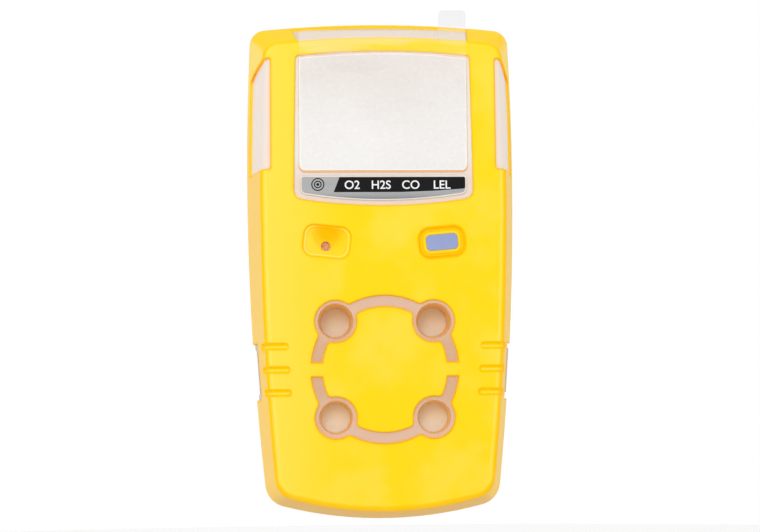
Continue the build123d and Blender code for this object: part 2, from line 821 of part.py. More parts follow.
with BuildPart() as infrared_window:
    add(box_plate(3.15, contact_height - 1.75, contact_height + 1.75, rear_depth - rim_step, 2.0, 1.0))
save(infrared_window, "infrared_window")

# ---- belt clip ---------------------------------------------------------------------------------------

ear_outer = 8.2
ear_radius = 3.0
lever_ear_outer = 7.1


def side_circle(radius, half_width):
    """Round bar along X through the clip's pivot."""
    with BuildPart() as bar:
        with BuildSketch(Plane.YZ):
            with Locations((pivot_y, pivot_z)):
                Circle(radius)
        extrude(amount=half_width, both=True)
    return bar.part


def ear_prism(root_y, half_base, radius, half_width):
    """Ear blank along X: a round end at the pivot that widens to a straight root."""
    with BuildPart() as blank:
        with BuildSketch(Plane.YZ):
            with Locations((pivot_y, pivot_z)):
                Circle(radius)
            with BuildLine():
                Polyline(
                    (root_y, pivot_z - half_base),
                    (root_y, pivot_z + half_base),
                    (pivot_y, pivot_z + radius),
                    (pivot_y, pivot_z - radius),
                    close=True,
                )
            make_face()
        extrude(amount=half_width, both=True)
    return blank.part


with BuildPart() as clip_base:
    add(box_plate(clip_half_width, clip_low, clip_high, rear_depth, clip_sheet, 2.0))
    add(ear_prism(clip_pad, 5.2, ear_radius, ear_outer))
    with Locations((0, rear_depth + 6, pivot_z)):
        Box(2 * (ear_outer - clip_sheet), 12, 16, mode=Mode.SUBTRACT)
    add(side_circle(pin_radius, ear_outer + 1), mode=Mode.SUBTRACT)
    add(posts([clip_screw_spot], 1.35, rear_depth, 2), mode=Mode.SUBTRACT)
save(clip_base, "clip_base")

lever_top = 104.5
ear_slot_width = 2 * (clip_half_width - lever_ear_outer)
tooth_pitch = 2.6

with BuildPart() as lever_ears:
    add(ear_prism(22.2, 4.6, ear_radius, lever_ear_outer))
    with Locations((0, pivot_y, pivot_z)):
        Box(2 * (lever_ear_outer - lever_sheet), 12, 16, mode=Mode.SUBTRACT)

with BuildPart() as clip_lever:
    with BuildSketch(Plane.YZ):
        with BuildLine():
            FilletPolyline(
                (14.4, 59.2),
                (18.9, 62.6),
                (21.9, 71.5),
                (22.4, 82.0),
                (22.6, 92.0),
                (26.0, lever_top),
                radius=4.0,
            )
        trace(line_width=lever_sheet)
    extrude(amount=clip_half_width, both=True)
    with BuildSketch(at_depth(30)):
        with Locations((0, (lever_top + 58) / 2)):
            RectangleRounded(2 * clip_half_width, lever_top - 58, 3.0)
        with Locations((-clip_half_width, pivot_z), (clip_half_width, pivot_z)):
            SlotCenterToCenter(9.0, ear_slot_width, rotation=90, mode=Mode.SUBTRACT)
        with GridLocations(tooth_pitch, 1, 6, 1):
            with Locations((0, 58.3)):
                RegularPolygon(1.5, 3, rotation=90, mode=Mode.SUBTRACT)
    extrude(amount=20, mode=Mode.INTERSECT)
    add(lever_ears.part)
    add(side_circle(pin_radius + 0.05, lever_ear_outer + 1), mode=Mode.SUBTRACT)
save(clip_lever, "clip_lever")

pin_head = 0.8

with BuildPart() as clip_pin:
    add(side_circle(pin_radius + 0.8, ear_outer + pin_head))
    add(side_circle(pin_radius + 2, ear_outer), mode=Mode.SUBTRACT)
    add(side_circle(pin_radius, ear_outer + pin_head))
    fillet(clip_pin.faces().sort_by(Axis.X)[-1].edges(), 0.3)
    fillet(clip_pin.faces().sort_by(Axis.X)[0].edges(), 0.3)
save(clip_pin, "clip_pin")

spring_wire = 0.35
coil_radius = 2.3
coil_pitch = 0.8
coil_turns = 6
coil_half = coil_pitch * coil_turns / 2
leg_start = pivot_z + coil_radius
leg_end = 93.0


def spring_leg(x, y):
    """Leg of the clip spring, from the top of the coil across to depth y and then up."""
    with BuildPart() as leg:
        with BuildLine() as path:
            FilletPolyline((x, pivot_y, leg_start), (x, y, leg_start), (x, y, leg_end), radius=1.2)
        with BuildSketch(Plane(path.line @ 0, z_dir=path.line % 0)):
            Circle(spring_wire)
        sweep()
    return leg.part


with BuildPart() as clip_spring:
    with BuildLine():
        coil = Helix(coil_pitch, 2 * coil_half, coil_radius, (-coil_half, pivot_y, pivot_z), (1, 0, 0))
    with BuildSketch(Plane(coil @ 0, z_dir=coil % 0)):
        Circle(spring_wire)
    sweep(is_frenet=True)
    add(spring_leg(-coil_half, 21.45))
    add(spring_leg(coil_half, rear_depth + spring_wire + 0.05))
save(clip_spring, "clip_spring")

with BuildPart() as clip_screw:
    add(posts([clip_screw_spot], 2.5, rear_depth + 1.3, 1.3))
    fillet(clip_screw.faces().sort_by(Axis.Y)[-1].edges(), 0.4)
    add(posts([clip_screw_spot], 1.25, rear_depth, 4.6))
    with BuildSketch(at_depth(rear_depth + 1.4)):
        with Locations(clip_screw_spot):
            RegularPolygon(1.1, 6)
    extrude(amount=0.9, mode=Mode.SUBTRACT)
save(clip_screw, "clip_screw")

with BuildPart() as clip_insert:
    add(posts([clip_screw_spot], 1.98, clip_pad, 4.2))
    add(posts([clip_screw_spot], 1.3, clip_pad, 4.2), mode=Mode.SUBTRACT)
save(clip_insert, "clip_insert")
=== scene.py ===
"""Looks of the portable gas detector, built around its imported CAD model."""
import json
import math

import bmesh
import bpy
from mathutils import Matrix, Vector


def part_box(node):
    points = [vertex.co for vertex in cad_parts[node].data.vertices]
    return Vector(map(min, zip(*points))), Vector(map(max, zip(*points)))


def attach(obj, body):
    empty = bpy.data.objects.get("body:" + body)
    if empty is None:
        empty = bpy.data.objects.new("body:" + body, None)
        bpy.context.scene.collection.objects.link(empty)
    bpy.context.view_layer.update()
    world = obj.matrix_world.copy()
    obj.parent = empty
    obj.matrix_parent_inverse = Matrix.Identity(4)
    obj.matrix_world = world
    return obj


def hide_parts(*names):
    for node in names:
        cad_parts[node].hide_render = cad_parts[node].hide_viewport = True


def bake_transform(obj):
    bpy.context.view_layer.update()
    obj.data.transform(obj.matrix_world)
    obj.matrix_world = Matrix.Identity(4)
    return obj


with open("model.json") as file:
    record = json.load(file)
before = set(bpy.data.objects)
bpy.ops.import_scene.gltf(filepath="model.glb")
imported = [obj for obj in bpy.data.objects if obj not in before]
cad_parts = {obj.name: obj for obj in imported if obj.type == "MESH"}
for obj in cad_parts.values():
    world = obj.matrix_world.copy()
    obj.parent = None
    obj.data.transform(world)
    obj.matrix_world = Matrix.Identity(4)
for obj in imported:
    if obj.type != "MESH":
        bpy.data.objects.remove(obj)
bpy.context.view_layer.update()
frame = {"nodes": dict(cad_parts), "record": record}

MM = 0.001

# ---- design frame --------------------------------------------------------------------------------
# Origin at the bottom centre of the body on the parting plane, +X right, +Y back, +Z up, in mm.

body_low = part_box("front_overmold")[0]
parting_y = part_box("rear_overmold")[0][1]
ORIGIN = Vector((0.0, parting_y, body_low[2]))


def at(x, y, z):
    """A point given in design millimetres, in the scene's metres."""
    return ORIGIN + Vector((x, y, z)) * MM


def low_of(node):
    """Lowest corner of a CAD node in design millimetres."""
    return (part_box(node)[0] - ORIGIN) / MM


def high_of(node):
    """Highest corner of a CAD node in design millimetres."""
    return (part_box(node)[1] - ORIGIN) / MM


# ---- node materials ------------------------------------------------------------------------------


class Shader:
    """A node material under construction, with short calls for the nodes that repeat."""

    def __init__(self, name, color, roughness=0.5, **sockets):
        self.material = bpy.data.materials.new(name)
        self.material.use_nodes = True
        self.tree = self.material.node_tree
        self.bsdf = self.tree.nodes["Principled BSDF"]
        self.bsdf.inputs["Base Color"].default_value = (*color, 1.0)
        self.bsdf.inputs["Roughness"].default_value = roughness
        for key, value in sockets.items():
            self.bsdf.inputs[key.replace("_", " ")].default_value = value

    def node(self, kind, **settings):
        """Add a node of a kind and set its properties."""
        made = self.tree.nodes.new(kind)
        for key, value in settings.items():
            setattr(made, key, value)
        return made

    def link(self, out, into):
        """Join an output socket to an input socket."""
        self.tree.links.new(out, into)

    def feed(self, value, socket):
        """Set a socket to a number, or link it to another socket."""
        if isinstance(value, (int, float)):
            socket.default_value = value
        else:
            self.link(value, socket)

    def position(self):
        """Object-space position in metres, the same at every pose."""
        return self.node("ShaderNodeTexCoord").outputs["Object"]

    def axis(self, name, source=None):
        """One component, X, Y or Z, of a vector: the position unless another is given."""
        split = self.node("ShaderNodeSeparateXYZ")
        self.link(source or self.position(), split.inputs["Vector"])
        return split.outputs[name]

    def facing(self, name):
        """One component of the surface's own normal."""
        return self.axis(name, self.node("ShaderNodeTexCoord").outputs["Normal"])

    def math(self, operation, first, second=0.0):
        """Result of one operation on two values, each a number or a socket."""
        made = self.node("ShaderNodeMath", operation=operation)
        for value, socket in zip((first, second), made.inputs):
            self.feed(value, socket)
        return made.outputs["Value"]

    def noise(self, scale, detail=3.0, roughness=0.55, stretch=(1, 1, 1)):
        """Noise over the position, finer along an axis with a larger stretch."""
        texture = self.node("ShaderNodeTexNoise")
        texture.inputs["Scale"].default_value = scale
        texture.inputs["Detail"].default_value = detail
        texture.inputs["Roughness"].default_value = roughness
        mapping = self.node("ShaderNodeMapping")
        mapping.inputs["Scale"].default_value = stretch
        self.link(self.position(), mapping.inputs["Vector"])
        self.link(mapping.outputs["Vector"], texture.inputs["Vector"])
        return texture.outputs["Fac"]

    def remap(self, value, low, high, from_low=0.3, from_high=0.7):
        """low where the value is at or under from_low, high from from_high on, eased between them."""
        ranged = self.node("ShaderNodeMapRange", interpolation_type="SMOOTHSTEP")
        ranged.inputs["From Min"].default_value = from_low
        ranged.inputs["From Max"].default_value = from_high
        ranged.inputs["To Min"].default_value = low
        ranged.inputs["To Max"].default_value = high
        self.link(value, ranged.inputs["Value"])
        return ranged.outputs["Result"]

    def rise(self, value, low=0.3, high=0.7, top=1.0):
        """0 where the value is under low and top where it is over high, eased between them."""
        return self.remap(value, 0.0, top, low, high)

    def fall(self, value, low, high, top=1.0):
        """top where the value is under low and 0 where it is over high, eased between them."""
        return self.remap(value, top, 0.0, low, high)

    def above(self, low, high, top=1.0):
        """A rise over two heights in design millimetres."""
        return self.rise(self.axis("Z"), at(0, 0, low).z, at(0, 0, high).z, top)

    def below(self, low, high, top=1.0):
        """A fall over two heights in design millimetres."""
        return self.fall(self.axis("Z"), at(0, 0, low).z, at(0, 0, high).z, top)

    def ahead(self, front, back):
        """1 in front of the first depth and 0 behind the second, both in design millimetres."""
        return self.fall(self.axis("Y"), at(0, front, 0).y, at(0, back, 0).y)

    def across(self):
        """Distance from the middle plane, in metres."""
        return self.math("ABSOLUTE", self.axis("X"))

    def from_height(self, height):
        """Distance above or below a height given in design millimetres, in metres."""
        return self.math("ABSOLUTE", self.math("SUBTRACT", self.axis("Z"), at(0, 0, height).z))

    def both(self, first, second):
        """Product of two masks."""
        return self.math("MULTIPLY", first, second)

    def either(self, first, second):
        """Larger of two masks."""
        return self.math("MAXIMUM", first, second)

    def mix(self, factor, first, second):
        """Colour between two colours, each a tuple or a socket."""
        blend = self.node("ShaderNodeMix", data_type="RGBA")
        self.feed(factor, blend.inputs["Factor"])
        for socket, colour in ((blend.inputs[6], first), (blend.inputs[7], second)):
            if isinstance(colour, tuple):
                socket.default_value = (*colour, 1.0)
            else:
                self.link(colour, socket)
        return blend.outputs[2]

    def edges(self, radius, sharpest):
        """1 on edges and steps that bend as much as sharpest, a cosine, and 0 on open faces."""
        bevel = self.node("ShaderNodeBevel", samples=8)
        bevel.inputs["Radius"].default_value = radius
        geometry = self.node("ShaderNodeNewGeometry")
        product = self.node("ShaderNodeVectorMath", operation="DOT_PRODUCT")
        self.link(bevel.outputs["Normal"], product.inputs[0])
        self.link(geometry.outputs["Normal"], product.inputs[1])
        return self.fall(product.outputs["Value"], sharpest, 0.998)

    def hollows(self, distance):
        """1 deep in grooves and inner corners, 0 on open faces."""
        occlusion = self.node("ShaderNodeAmbientOcclusion", samples=8)
        occlusion.inputs["Distance"].default_value = distance
        return self.fall(occlusion.outputs["AO"], 0.35, 0.95)

    def near_point(self, point, full, reach):
        """1 within one distance of a point, falling to 0 at a greater one."""
        apart = self.node("ShaderNodeVectorMath", operation="DISTANCE")
        self.link(self.position(), apart.inputs[0])
        apart.inputs[1].default_value = point
        return self.fall(apart.outputs["Value"], full, reach)

    def soak(self, weight, colours, depth):
        """Light that enters the surface and comes out again, per colour, to a depth in metres."""
        self.bsdf.inputs["Subsurface Weight"].default_value = weight
        self.bsdf.inputs["Subsurface Radius"].default_value = colours
        self.bsdf.inputs["Subsurface Scale"].default_value = depth

    def color(self, socket):
        """Take the surface's colour from a socket."""
        self.link(socket, self.bsdf.inputs["Base Color"])

    def roughness(self, socket):
        """Take the surface's roughness from a socket."""
        self.link(socket, self.bsdf.inputs["Roughness"])

    def bump(self, height, distance, strength=1.0, edge=0.0):
        """Bump from a height socket; edge is the radius that softens sharp edges, in metres."""
        made = self.node("ShaderNodeBump")
        made.inputs["Distance"].default_value = distance
        made.inputs["Strength"].default_value = strength
        self.link(height, made.inputs["Height"])
        if edge > 0:
            bevel = self.node("ShaderNodeBevel", samples=4)
            bevel.inputs["Radius"].default_value = edge
            self.link(bevel.outputs["Normal"], made.inputs["Normal"])
        self.link(made.outputs["Normal"], self.bsdf.inputs["Normal"])


def shade(color, factor):
    """The same colour at another brightness."""
    return tuple(channel * factor for channel in color)


# ---- colours, haze and glow ----------------------------------------------------------------------

YELLOW = (0.965, 0.625, 0.01)
YELLOW_PALE = (0.965, 0.665, 0.07)
# Painted highlight: pale yellow for the lit line inside the crease and inside the alarm recess's rim.
YELLOW_HIGHLIGHT = (0.97, 0.72, 0.16)
# Painted shade: gold mixed in on creases, step edges, hollows, lips and round the recesses; also the
# colour of the painted glow in hollows.
GOLD_SHADE_AND_GLOW = (0.96, 0.53, 0.0)
# Painted shade: saturated gold for surfaces that face up.
CREST_SHADE = (0.96, 0.58, 0.004)
# Painted shadow: orange for the scoop above the alarm hole and the groove round the key.
SHADOW_ORANGE = (0.95, 0.47, 0.0)
# Painted shade and painted highlight for the side grooves.
GRIP_SHADE = (0.965, 0.58, 0.0)
GRIP_HIGHLIGHT = (0.965, 0.70, 0.10)
# Painted sheen: pale colours for the sides, a little less pale high up.
FLANK_SHEEN = (0.88, 0.585, 0.15)
FLANK_SHEEN_HIGH = (0.91, 0.665, 0.15)
# Painted shade: tan for surfaces that face down near the bottom.
FLANK_SHADE = (0.74, 0.475, 0.15)
RESIN = (0.64, 0.545, 0.515)
RESIN_CLOUD = (0.56, 0.475, 0.45)
RESIN_SIDE = (0.76, 0.66, 0.59)
# Painted light: the bezel paler to offset the shade of the rubber wall beside it.
RESIN_BEZEL_LIT = (0.76, 0.77, 0.78)
RESIN_SILL = (0.74, 0.64, 0.57)
RESIN_LATCH = (0.54, 0.45, 0.44)
RESIN_BAR = (0.615, 0.50, 0.385)
RING_PINK = (0.66, 0.455, 0.335)
RING_TAN = (0.60, 0.38, 0.235)
# Painted shade: orange for the walls down the ports.
PORT_SHADE_ORANGE = (0.86, 0.46, 0.12)
CLEAR_BEAD = (0.84, 0.76, 0.70)
AMBER_BEAD = (0.82, 0.46, 0.20)
FILM_CLEAR = (0.98, 0.98, 0.97)
FILM_TAB = (0.3, 0.3, 0.31)
FILM_HAZE = 0.085
# Strength of the painted glow in hollows.
PAINTED_GLOW = 0.3

# ---- places on the front, in design millimetres and degrees --------------------------------------

CHIN_SLOPE = 0.068
BEND_HEIGHT = 61.5
FACE_MIDDLE = 56
RING_HEIGHT = 33.1
PORT_PITCH = 21.2
GRIP_HEIGHT = 33.2
GRIP_PITCH = 5.1
ALARM_SPOT = (-12.7, 61.3)
ALARM_RIM = (10.6, 7.2, 2.4)
ALARM_TILT = -6.0
SCOOP_SPOT = (-12.4, -14.2, 63.6)
BUTTON_SPOT = (12.8, 61.1)
BUTTON_TILT = 5.0
KEY_PAD = (7.05, 3.55, 1.0)

# ---- masks over the front ------------------------------------------------------------------------


def below_front(m):
    """Depth of a point behind the plane of the sloping chin, in metres."""
    face = at(0, low_of("display_lens").y, BEND_HEIGHT)
    lean = m.math("ADD", m.axis("Y"), m.math("MULTIPLY", m.axis("Z"), CHIN_SLOPE))
    return m.math("SUBTRACT", lean, face.y + CHIN_SLOPE * face.z)


def grip_masks(m):
    """Two masks over the side grooves: the whole groove, painted gold as shade, and the painted
    highlight line along its lower half.
    """
    from_middle = m.math("SUBTRACT", m.axis("Z"), at(0, 0, GRIP_HEIGHT).z)
    climbed = m.math("ADD", from_middle, 1.5 * GRIP_PITCH * MM)
    offset = m.math("SUBTRACT", m.math("MODULO", climbed, GRIP_PITCH * MM), GRIP_PITCH / 2 * MM)
    rows = m.fall(m.math("ABSOLUTE", from_middle), 6.0 * MM, 6.3 * MM)
    groove = m.both(m.fall(m.math("ABSOLUTE", offset), 0.62 * MM, 0.78 * MM), rows)
    length = m.rise(m.across(), 21.1 * MM, 21.6 * MM)
    length = m.both(length, m.ahead(-9.2, -9.0))
    lit = m.fall(m.math("ABSOLUTE", m.math("ADD", offset, 0.16 * MM)), 0.04 * MM, 0.24 * MM)
    return m.both(groove, length), lit


def pill_distance(m, size, spot, tilt):
    """Distance outside a tilted pill of (width, height, radius) on the front, negative inside it."""
    width, height, radius = size
    right = m.math("SUBTRACT", m.axis("X"), at(spot[0], 0, 0).x)
    up = m.math("SUBTRACT", m.axis("Z"), at(0, 0, spot[1]).z)
    cosine = math.cos(math.radians(tilt))
    sine = math.sin(math.radians(tilt))
    along = m.math("ADD", m.math("MULTIPLY", right, cosine), m.math("MULTIPLY", up, sine))
    beside = m.math("SUBTRACT", m.math("MULTIPLY", up, cosine), m.math("MULTIPLY", right, sine))
    squares = []
    for value, half in ((along, width / 2 - radius), (beside, height / 2 - radius)):
        past = m.math("MAXIMUM", m.math("SUBTRACT", m.math("ABSOLUTE", value), half * MM), 0.0)
        squares.append(m.math("MULTIPLY", past, past))
    return m.math("SUBTRACT", m.math("SQRT", m.math("ADD", *squares)), radius * MM)


def around(m, distance, middle, full, reach):
    """1 on a line at one distance, falling to 0 away from it; the last three in millimetres."""
    off = m.math("ABSOLUTE", m.math("SUBTRACT", distance, middle * MM))
    return m.fall(off, full * MM, reach * MM)


def outside_face(m):
    """1 beyond the middle part of the face, where the surface bends away to the sides and ends."""
    beside = m.rise(m.across(), 22.0 * MM, 22.5 * MM)
    return m.either(beside, m.rise(m.from_height(FACE_MIDDLE), 47.5 * MM, 48.0 * MM))


# ---- rubber overmould ----------------------------------------------------------------------------


def overmold_face(m, front):
    """Mottled yellow of the open face, paler towards the left as painted light, a painted highlight line
    inside its crease and painted shade in gold on the crease.
    """
    flow = m.rise(m.noise(60, 3.0, 0.6), 0.38, 0.66, 0.7)
    # Painted light: the face paler towards the left, the side the key light comes from, mixed with the
    # random flow mottling.
    left_light = m.fall(m.axis("X"), at(-27, 0, 0).x, at(-6, 0, 0).x)
    tone = m.mix(m.either(flow, left_light), YELLOW, YELLOW_PALE)
    # Painted highlight: a pale line just inside the crease, weaker high up and at the bottom.
    crease_highlight = m.both(m.fall(front, 0.982, 0.996), m.rise(front, 0.93, 0.97))
    crease_highlight = m.both(m.both(crease_highlight, m.below(90, 100, 0.45)), m.above(4, 13))
    tone = m.mix(crease_highlight, tone, YELLOW_HIGHLIGHT)
    # Painted shade: gold where the face turns into its crease.
    return m.mix(m.fall(front, 0.72, 0.94), tone, GOLD_SHADE_AND_GLOW)


def overmold_flanks(m, tone, front, outside):
    """Painted light and shade by facing: paler sides as a painted sheen, gold painted shade where the
    surface turns up or begins to turn down, tan painted shade underneath.
    """
    # Painted sheen: the sides paler, a little less so high up.
    side_sheen = m.mix(m.above(84, 100), FLANK_SHEEN, FLANK_SHEEN_HIGH)
    tone = m.mix(m.both(m.fall(front, 0.22, 0.5), outside), tone, side_sheen)
    # Painted shade: saturated gold where the surface faces up.
    tone = m.mix(m.rise(m.facing("Z"), 0.25, 0.65), tone, CREST_SHADE)
    downward = m.math("MULTIPLY", m.facing("Z"), -1.0)
    # Painted shade: gold where the surface begins to turn down, tan on the underside low down.
    lip_shade = m.both(m.rise(downward, 0.12, 0.3, 0.75), m.rise(front, 0.5, 0.8))
    tone = m.mix(m.both(lip_shade, outside), tone, GOLD_SHADE_AND_GLOW)
    return m.mix(m.both(m.rise(downward, 0.55, 0.95), m.below(12, 18)), tone, FLANK_SHADE)


def overmold_steps(m, tone, outside, from_alarm, deep):
    """Painted shade in gold on step edges and in inner corners, apart from those inside the alarm
    recess.
    """
    # Painted shade: gold on step edges, creases and in hollows, scaled by deep.
    steps = m.both(m.edges(0.6 * MM, 0.985), m.math("SUBTRACT", 1.0, outside))
    depth = m.either(m.either(m.edges(0.9 * MM, 0.93), m.hollows(1.2 * MM)), steps)
    depth = m.both(depth, m.rise(from_alarm, 0.1 * MM, 0.5 * MM))
    return m.mix(m.both(depth, deep), tone, GOLD_SHADE_AND_GLOW)


def overmold_details(m, tone, from_alarm):
    """Painted shade and highlights on the rims of the alarm recess, the rings of the key's groove, the
    alarm's scoop and the side grooves.
    """
    # Painted shade in gold just inside the alarm recess's rim, and a painted highlight line further in.
    tone = m.mix(m.both(around(m, from_alarm, -0.08, 0.1, 0.34), 0.9), tone, GOLD_SHADE_AND_GLOW)
    tone = m.mix(around(m, from_alarm, -0.55, 0.06, 0.22), tone, YELLOW_HIGHLIGHT)
    # Painted shade round the key: an orange line in its groove and gold beyond it.
    from_key = pill_distance(m, KEY_PAD, BUTTON_SPOT, BUTTON_TILT)
    ring = m.mix(m.rise(from_key, 1.0 * MM, 1.35 * MM), YELLOW, SHADOW_ORANGE)
    ring = m.mix(m.rise(from_key, 1.45 * MM, 1.8 * MM), ring, GOLD_SHADE_AND_GLOW)
    tone = m.mix(m.fall(from_key, 1.75 * MM, 2.1 * MM), tone, ring)
    # Painted shadow: orange in the sunken scoop above the alarm hole.
    sunk = m.rise(below_front(m), 0.4 * MM, 0.7 * MM)
    scoop = m.both(sunk, m.near_point(at(*SCOOP_SPOT), 1.2 * MM, 5.0 * MM))
    tone = m.mix(scoop, tone, SHADOW_ORANGE)
    groove, lit = grip_masks(m)
    # Painted shade in the side grooves, with a painted highlight line along their lower half.
    return m.mix(groove, tone, m.mix(lit, GRIP_SHADE, GRIP_HIGHLIGHT))


def overmold(name, deep=0.9):
    """Moulded thermoplastic rubber: spark texture, flow mottling, painted shade in gold in steps and on
    crests.

    Steps and grooves get a faint painted glow, an emission, so that their shade does not go brown.
    """
    m = Shader(name, YELLOW, 0.5, Specular_IOR_Level=0.12, IOR=1.25)
    front = m.math("ABSOLUTE", m.facing("Y"))
    outside = outside_face(m)
    from_alarm = pill_distance(m, ALARM_RIM, ALARM_SPOT, ALARM_TILT)
    tone = overmold_face(m, front)
    tone = overmold_flanks(m, tone, front, outside)
    tone = overmold_steps(m, tone, outside, from_alarm, deep)
    m.color(overmold_details(m, tone, from_alarm))
    # Painted glow: an emission in gold that lifts the shade in steps and grooves.
    m.bsdf.inputs["Emission Color"].default_value = (*GOLD_SHADE_AND_GLOW, 1.0)
    m.link(m.both(m.hollows(1.2 * MM), PAINTED_GLOW), m.bsdf.inputs["Emission Strength"])
    m.roughness(m.remap(m.noise(700, 4.0), 0.44, 0.58))
    m.soak(0.1, (1.0, 0.55, 0.08), 0.9 * MM)
    m.bump(m.noise(3000, 3.0, 0.6), 0.02 * MM, 0.5, edge=0.3 * MM)
    return m.material


# ---- clear resin ---------------------------------------------------------------------------------


def resin_windows(m, middle):
    """Greyish pink resin, paler in the side lights and the bezel, the bezel's pale tone painted light,
    tan on the sill and the light bar.
    """
    tone = m.mix(m.rise(m.noise(120, 3.0)), RESIN, RESIN_CLOUD)
    tone = m.mix(m.rise(m.across(), 23.5 * MM, 24.5 * MM), tone, RESIN_SIDE)
    # Painted light: the bezel above the sill paler to offset the shade of the rubber wall.
    bezel = m.mix(m.above(75, 81), RESIN_SILL, RESIN_BEZEL_LIT)
    tone = m.mix(m.both(middle, m.below(104, 105)), tone, bezel)
    return m.mix(m.above(104, 105, 0.8), tone, RESIN_BAR)


def resin_ring(m, from_ring):
    """Pink resin of the sensor ring, tan in patches and along its left and right sides."""
    patches = m.rise(m.noise(55, 2.0), 0.4, 0.62, 0.5)
    sides = m.fall(from_ring, 4 * MM, 12 * MM, 0.85)
    return m.mix(m.either(patches, sides), RING_PINK, RING_TAN)


def resin(name):
    """Frosted polycarbonate, with gold painted shade where the rubber surrounds it and orange painted
    shade down the ports.
    """
    m = Shader(name, RESIN, 0.36, Specular_IOR_Level=0.4)
    m.soak(0.3, (1.0, 0.75, 0.6), 1.2 * MM)
    depth = below_front(m)
    low = m.below(52, 60)
    middle = m.fall(m.across(), 20.5 * MM, 21.5 * MM)
    from_ring = m.from_height(RING_HEIGHT)
    on_ring = m.both(low, m.fall(depth, 1.4 * MM, 3.0 * MM))
    tone = m.mix(on_ring, resin_windows(m, middle), resin_ring(m, from_ring))
    beside = m.either(m.both(low, middle), m.rise(m.across(), 23.5 * MM, 24.5 * MM))
    # Painted shade: gold in the hollows of the resin beside the rubber, round the ring and the side
    # lights.
    shade_fringe = m.both(m.hollows(0.6 * MM), beside)
    tone = m.mix(m.both(shade_fringe, 0.9), tone, GOLD_SHADE_AND_GLOW)
    latch = m.both(m.fall(from_ring, 6.4 * MM, 6.6 * MM), m.rise(m.across(), 23.0 * MM, 23.5 * MM))
    tone = m.mix(latch, tone, RESIN_LATCH)
    # Painted shade: orange down the port walls, deeper than the mouth.
    inside = m.both(m.both(m.rise(depth, 0.55 * MM, 1.1 * MM), low), m.ahead(-8, -7))
    m.color(m.mix(inside, tone, PORT_SHADE_ORANGE))
    m.bump(m.noise(2600, 4.0, 0.65), 0.03 * MM, 0.6, edge=0.25 * MM)
    return m.material


# ---- other materials -----------------------------------------------------------------------------


def lens(name):
    """Hard-coated display window, cloudy over the blank display behind it, with a painted highlight
    along its edges.
    """
    m = Shader(name, (0.84, 0.81, 0.78), 0.22, Coat_Weight=0.3, Coat_Roughness=0.08)
    cloud = m.rise(m.noise(45, 2.0))
    rise = m.above(82, 101)
    low_tone = m.mix(cloud, (0.745, 0.73, 0.715), (0.72, 0.70, 0.68))
    high_tone = m.mix(cloud, (0.70, 0.65, 0.62), (0.66, 0.605, 0.57))
    tone = m.mix(rise, low_tone, high_tone)
    # Painted highlight: near white along the lens's edges.
    m.color(m.mix(m.edges(0.45 * MM, 0.93), tone, (0.97, 0.965, 0.95)))
    m.roughness(m.remap(m.noise(900, 2.0), 0.2, 0.3))
    return m.material


def film(name):
    """Clear peel-off film with a streaky haze, greyer on its pull tab."""
    m = Shader(name, FILM_CLEAR, 0.2, Alpha=0.07, IOR=1.35)
    tab = m.above(108.5, 110)
    m.color(m.mix(tab, FILM_CLEAR, FILM_TAB))
    m.roughness(m.remap(m.noise(150, 2.0), 0.15, 0.3))
    haze = m.remap(m.noise(110, 2.0, 0.5, (0.4, 1, 2.2)), 0.02, FILM_HAZE, 0.36, 0.46)
    m.link(m.either(haze, m.both(tab, FILM_HAZE)), m.bsdf.inputs["Alpha"])
    return m.material


def adhesive(name):
    """Squeezed-out adhesive: clear at the sides and top of the lens, amber along its lower edge."""
    m = Shader(name, CLEAR_BEAD, 0.4, Specular_IOR_Level=0.3)
    patches = m.rise(m.noise(170, 2.0), 0.5, 0.66, 0.75)
    m.color(m.mix(m.either(m.below(77.4, 79.6), patches), CLEAR_BEAD, AMBER_BEAD))
    m.roughness(m.remap(m.noise(900, 2.0), 0.34, 0.46))
    m.bump(m.noise(1500, 3.0), 0.02 * MM, 0.5)
    return m.material


def membrane(name):
    """Sensor filter seen down each port, with painted shade: tan under the upper rim, pale towards the
    lower one.
    """
    m = Shader(name, (0.93, 0.70, 0.53), 0.6, Specular_IOR_Level=0.3)
    climbed = m.math("SUBTRACT", m.axis("Z"), at(0, 0, RING_HEIGHT - PORT_PITCH).z)
    # Painted shade under the upper rim of each port.
    shadow = m.rise(m.math("MODULO", climbed, PORT_PITCH * MM), 7.0 * MM, 13.5 * MM)
    grain = m.rise(m.noise(900, 3.0), top=0.25)
    tone = m.mix(shadow, (0.80, 0.75, 0.64), (0.74, 0.56, 0.34))
    m.color(m.mix(grain, tone, (0.70, 0.56, 0.42)))
    m.roughness(m.remap(m.noise(1500, 3.0), 0.5, 0.7))
    m.bump(m.noise(2400, 3.0), 0.03 * MM, 0.6)
    return m.material


def painted(name, color, rough=0.4, grain=1200, metallic=0.0, depth=0.01, level=0.5):
    """Plain moulded, printed or plated surface with a slight grain in tone, gloss and height."""
    m = Shader(name, color, rough, Metallic=metallic, Specular_IOR_Level=level)
    m.color(m.mix(m.rise(m.noise(grain * 0.12, 3.0)), color, shade(color, 0.9)))
    m.roughness(m.remap(m.noise(grain, 3.0), rough * 0.85, min(1.0, rough * 1.15)))
    m.bump(m.noise(grain * 2, 3.0), depth * MM, 0.6, edge=0.12 * MM)
    return m.material


def speckled(name, light, dark, cell):
    """Woven or sintered screen: two tones in small cells, with relief."""
    m = Shader(name, light, 0.7)
    cells = m.node("ShaderNodeTexVoronoi", feature="F1")
    cells.inputs["Scale"].default_value = 1.0 / (cell * MM)
    m.link(m.position(), cells.inputs["Vector"])
    m.color(m.mix(m.rise(cells.outputs["Distance"], 0.25, 0.6), light, dark))
    m.bump(cells.outputs["Distance"], 0.05 * MM, 0.8)
    return m.material


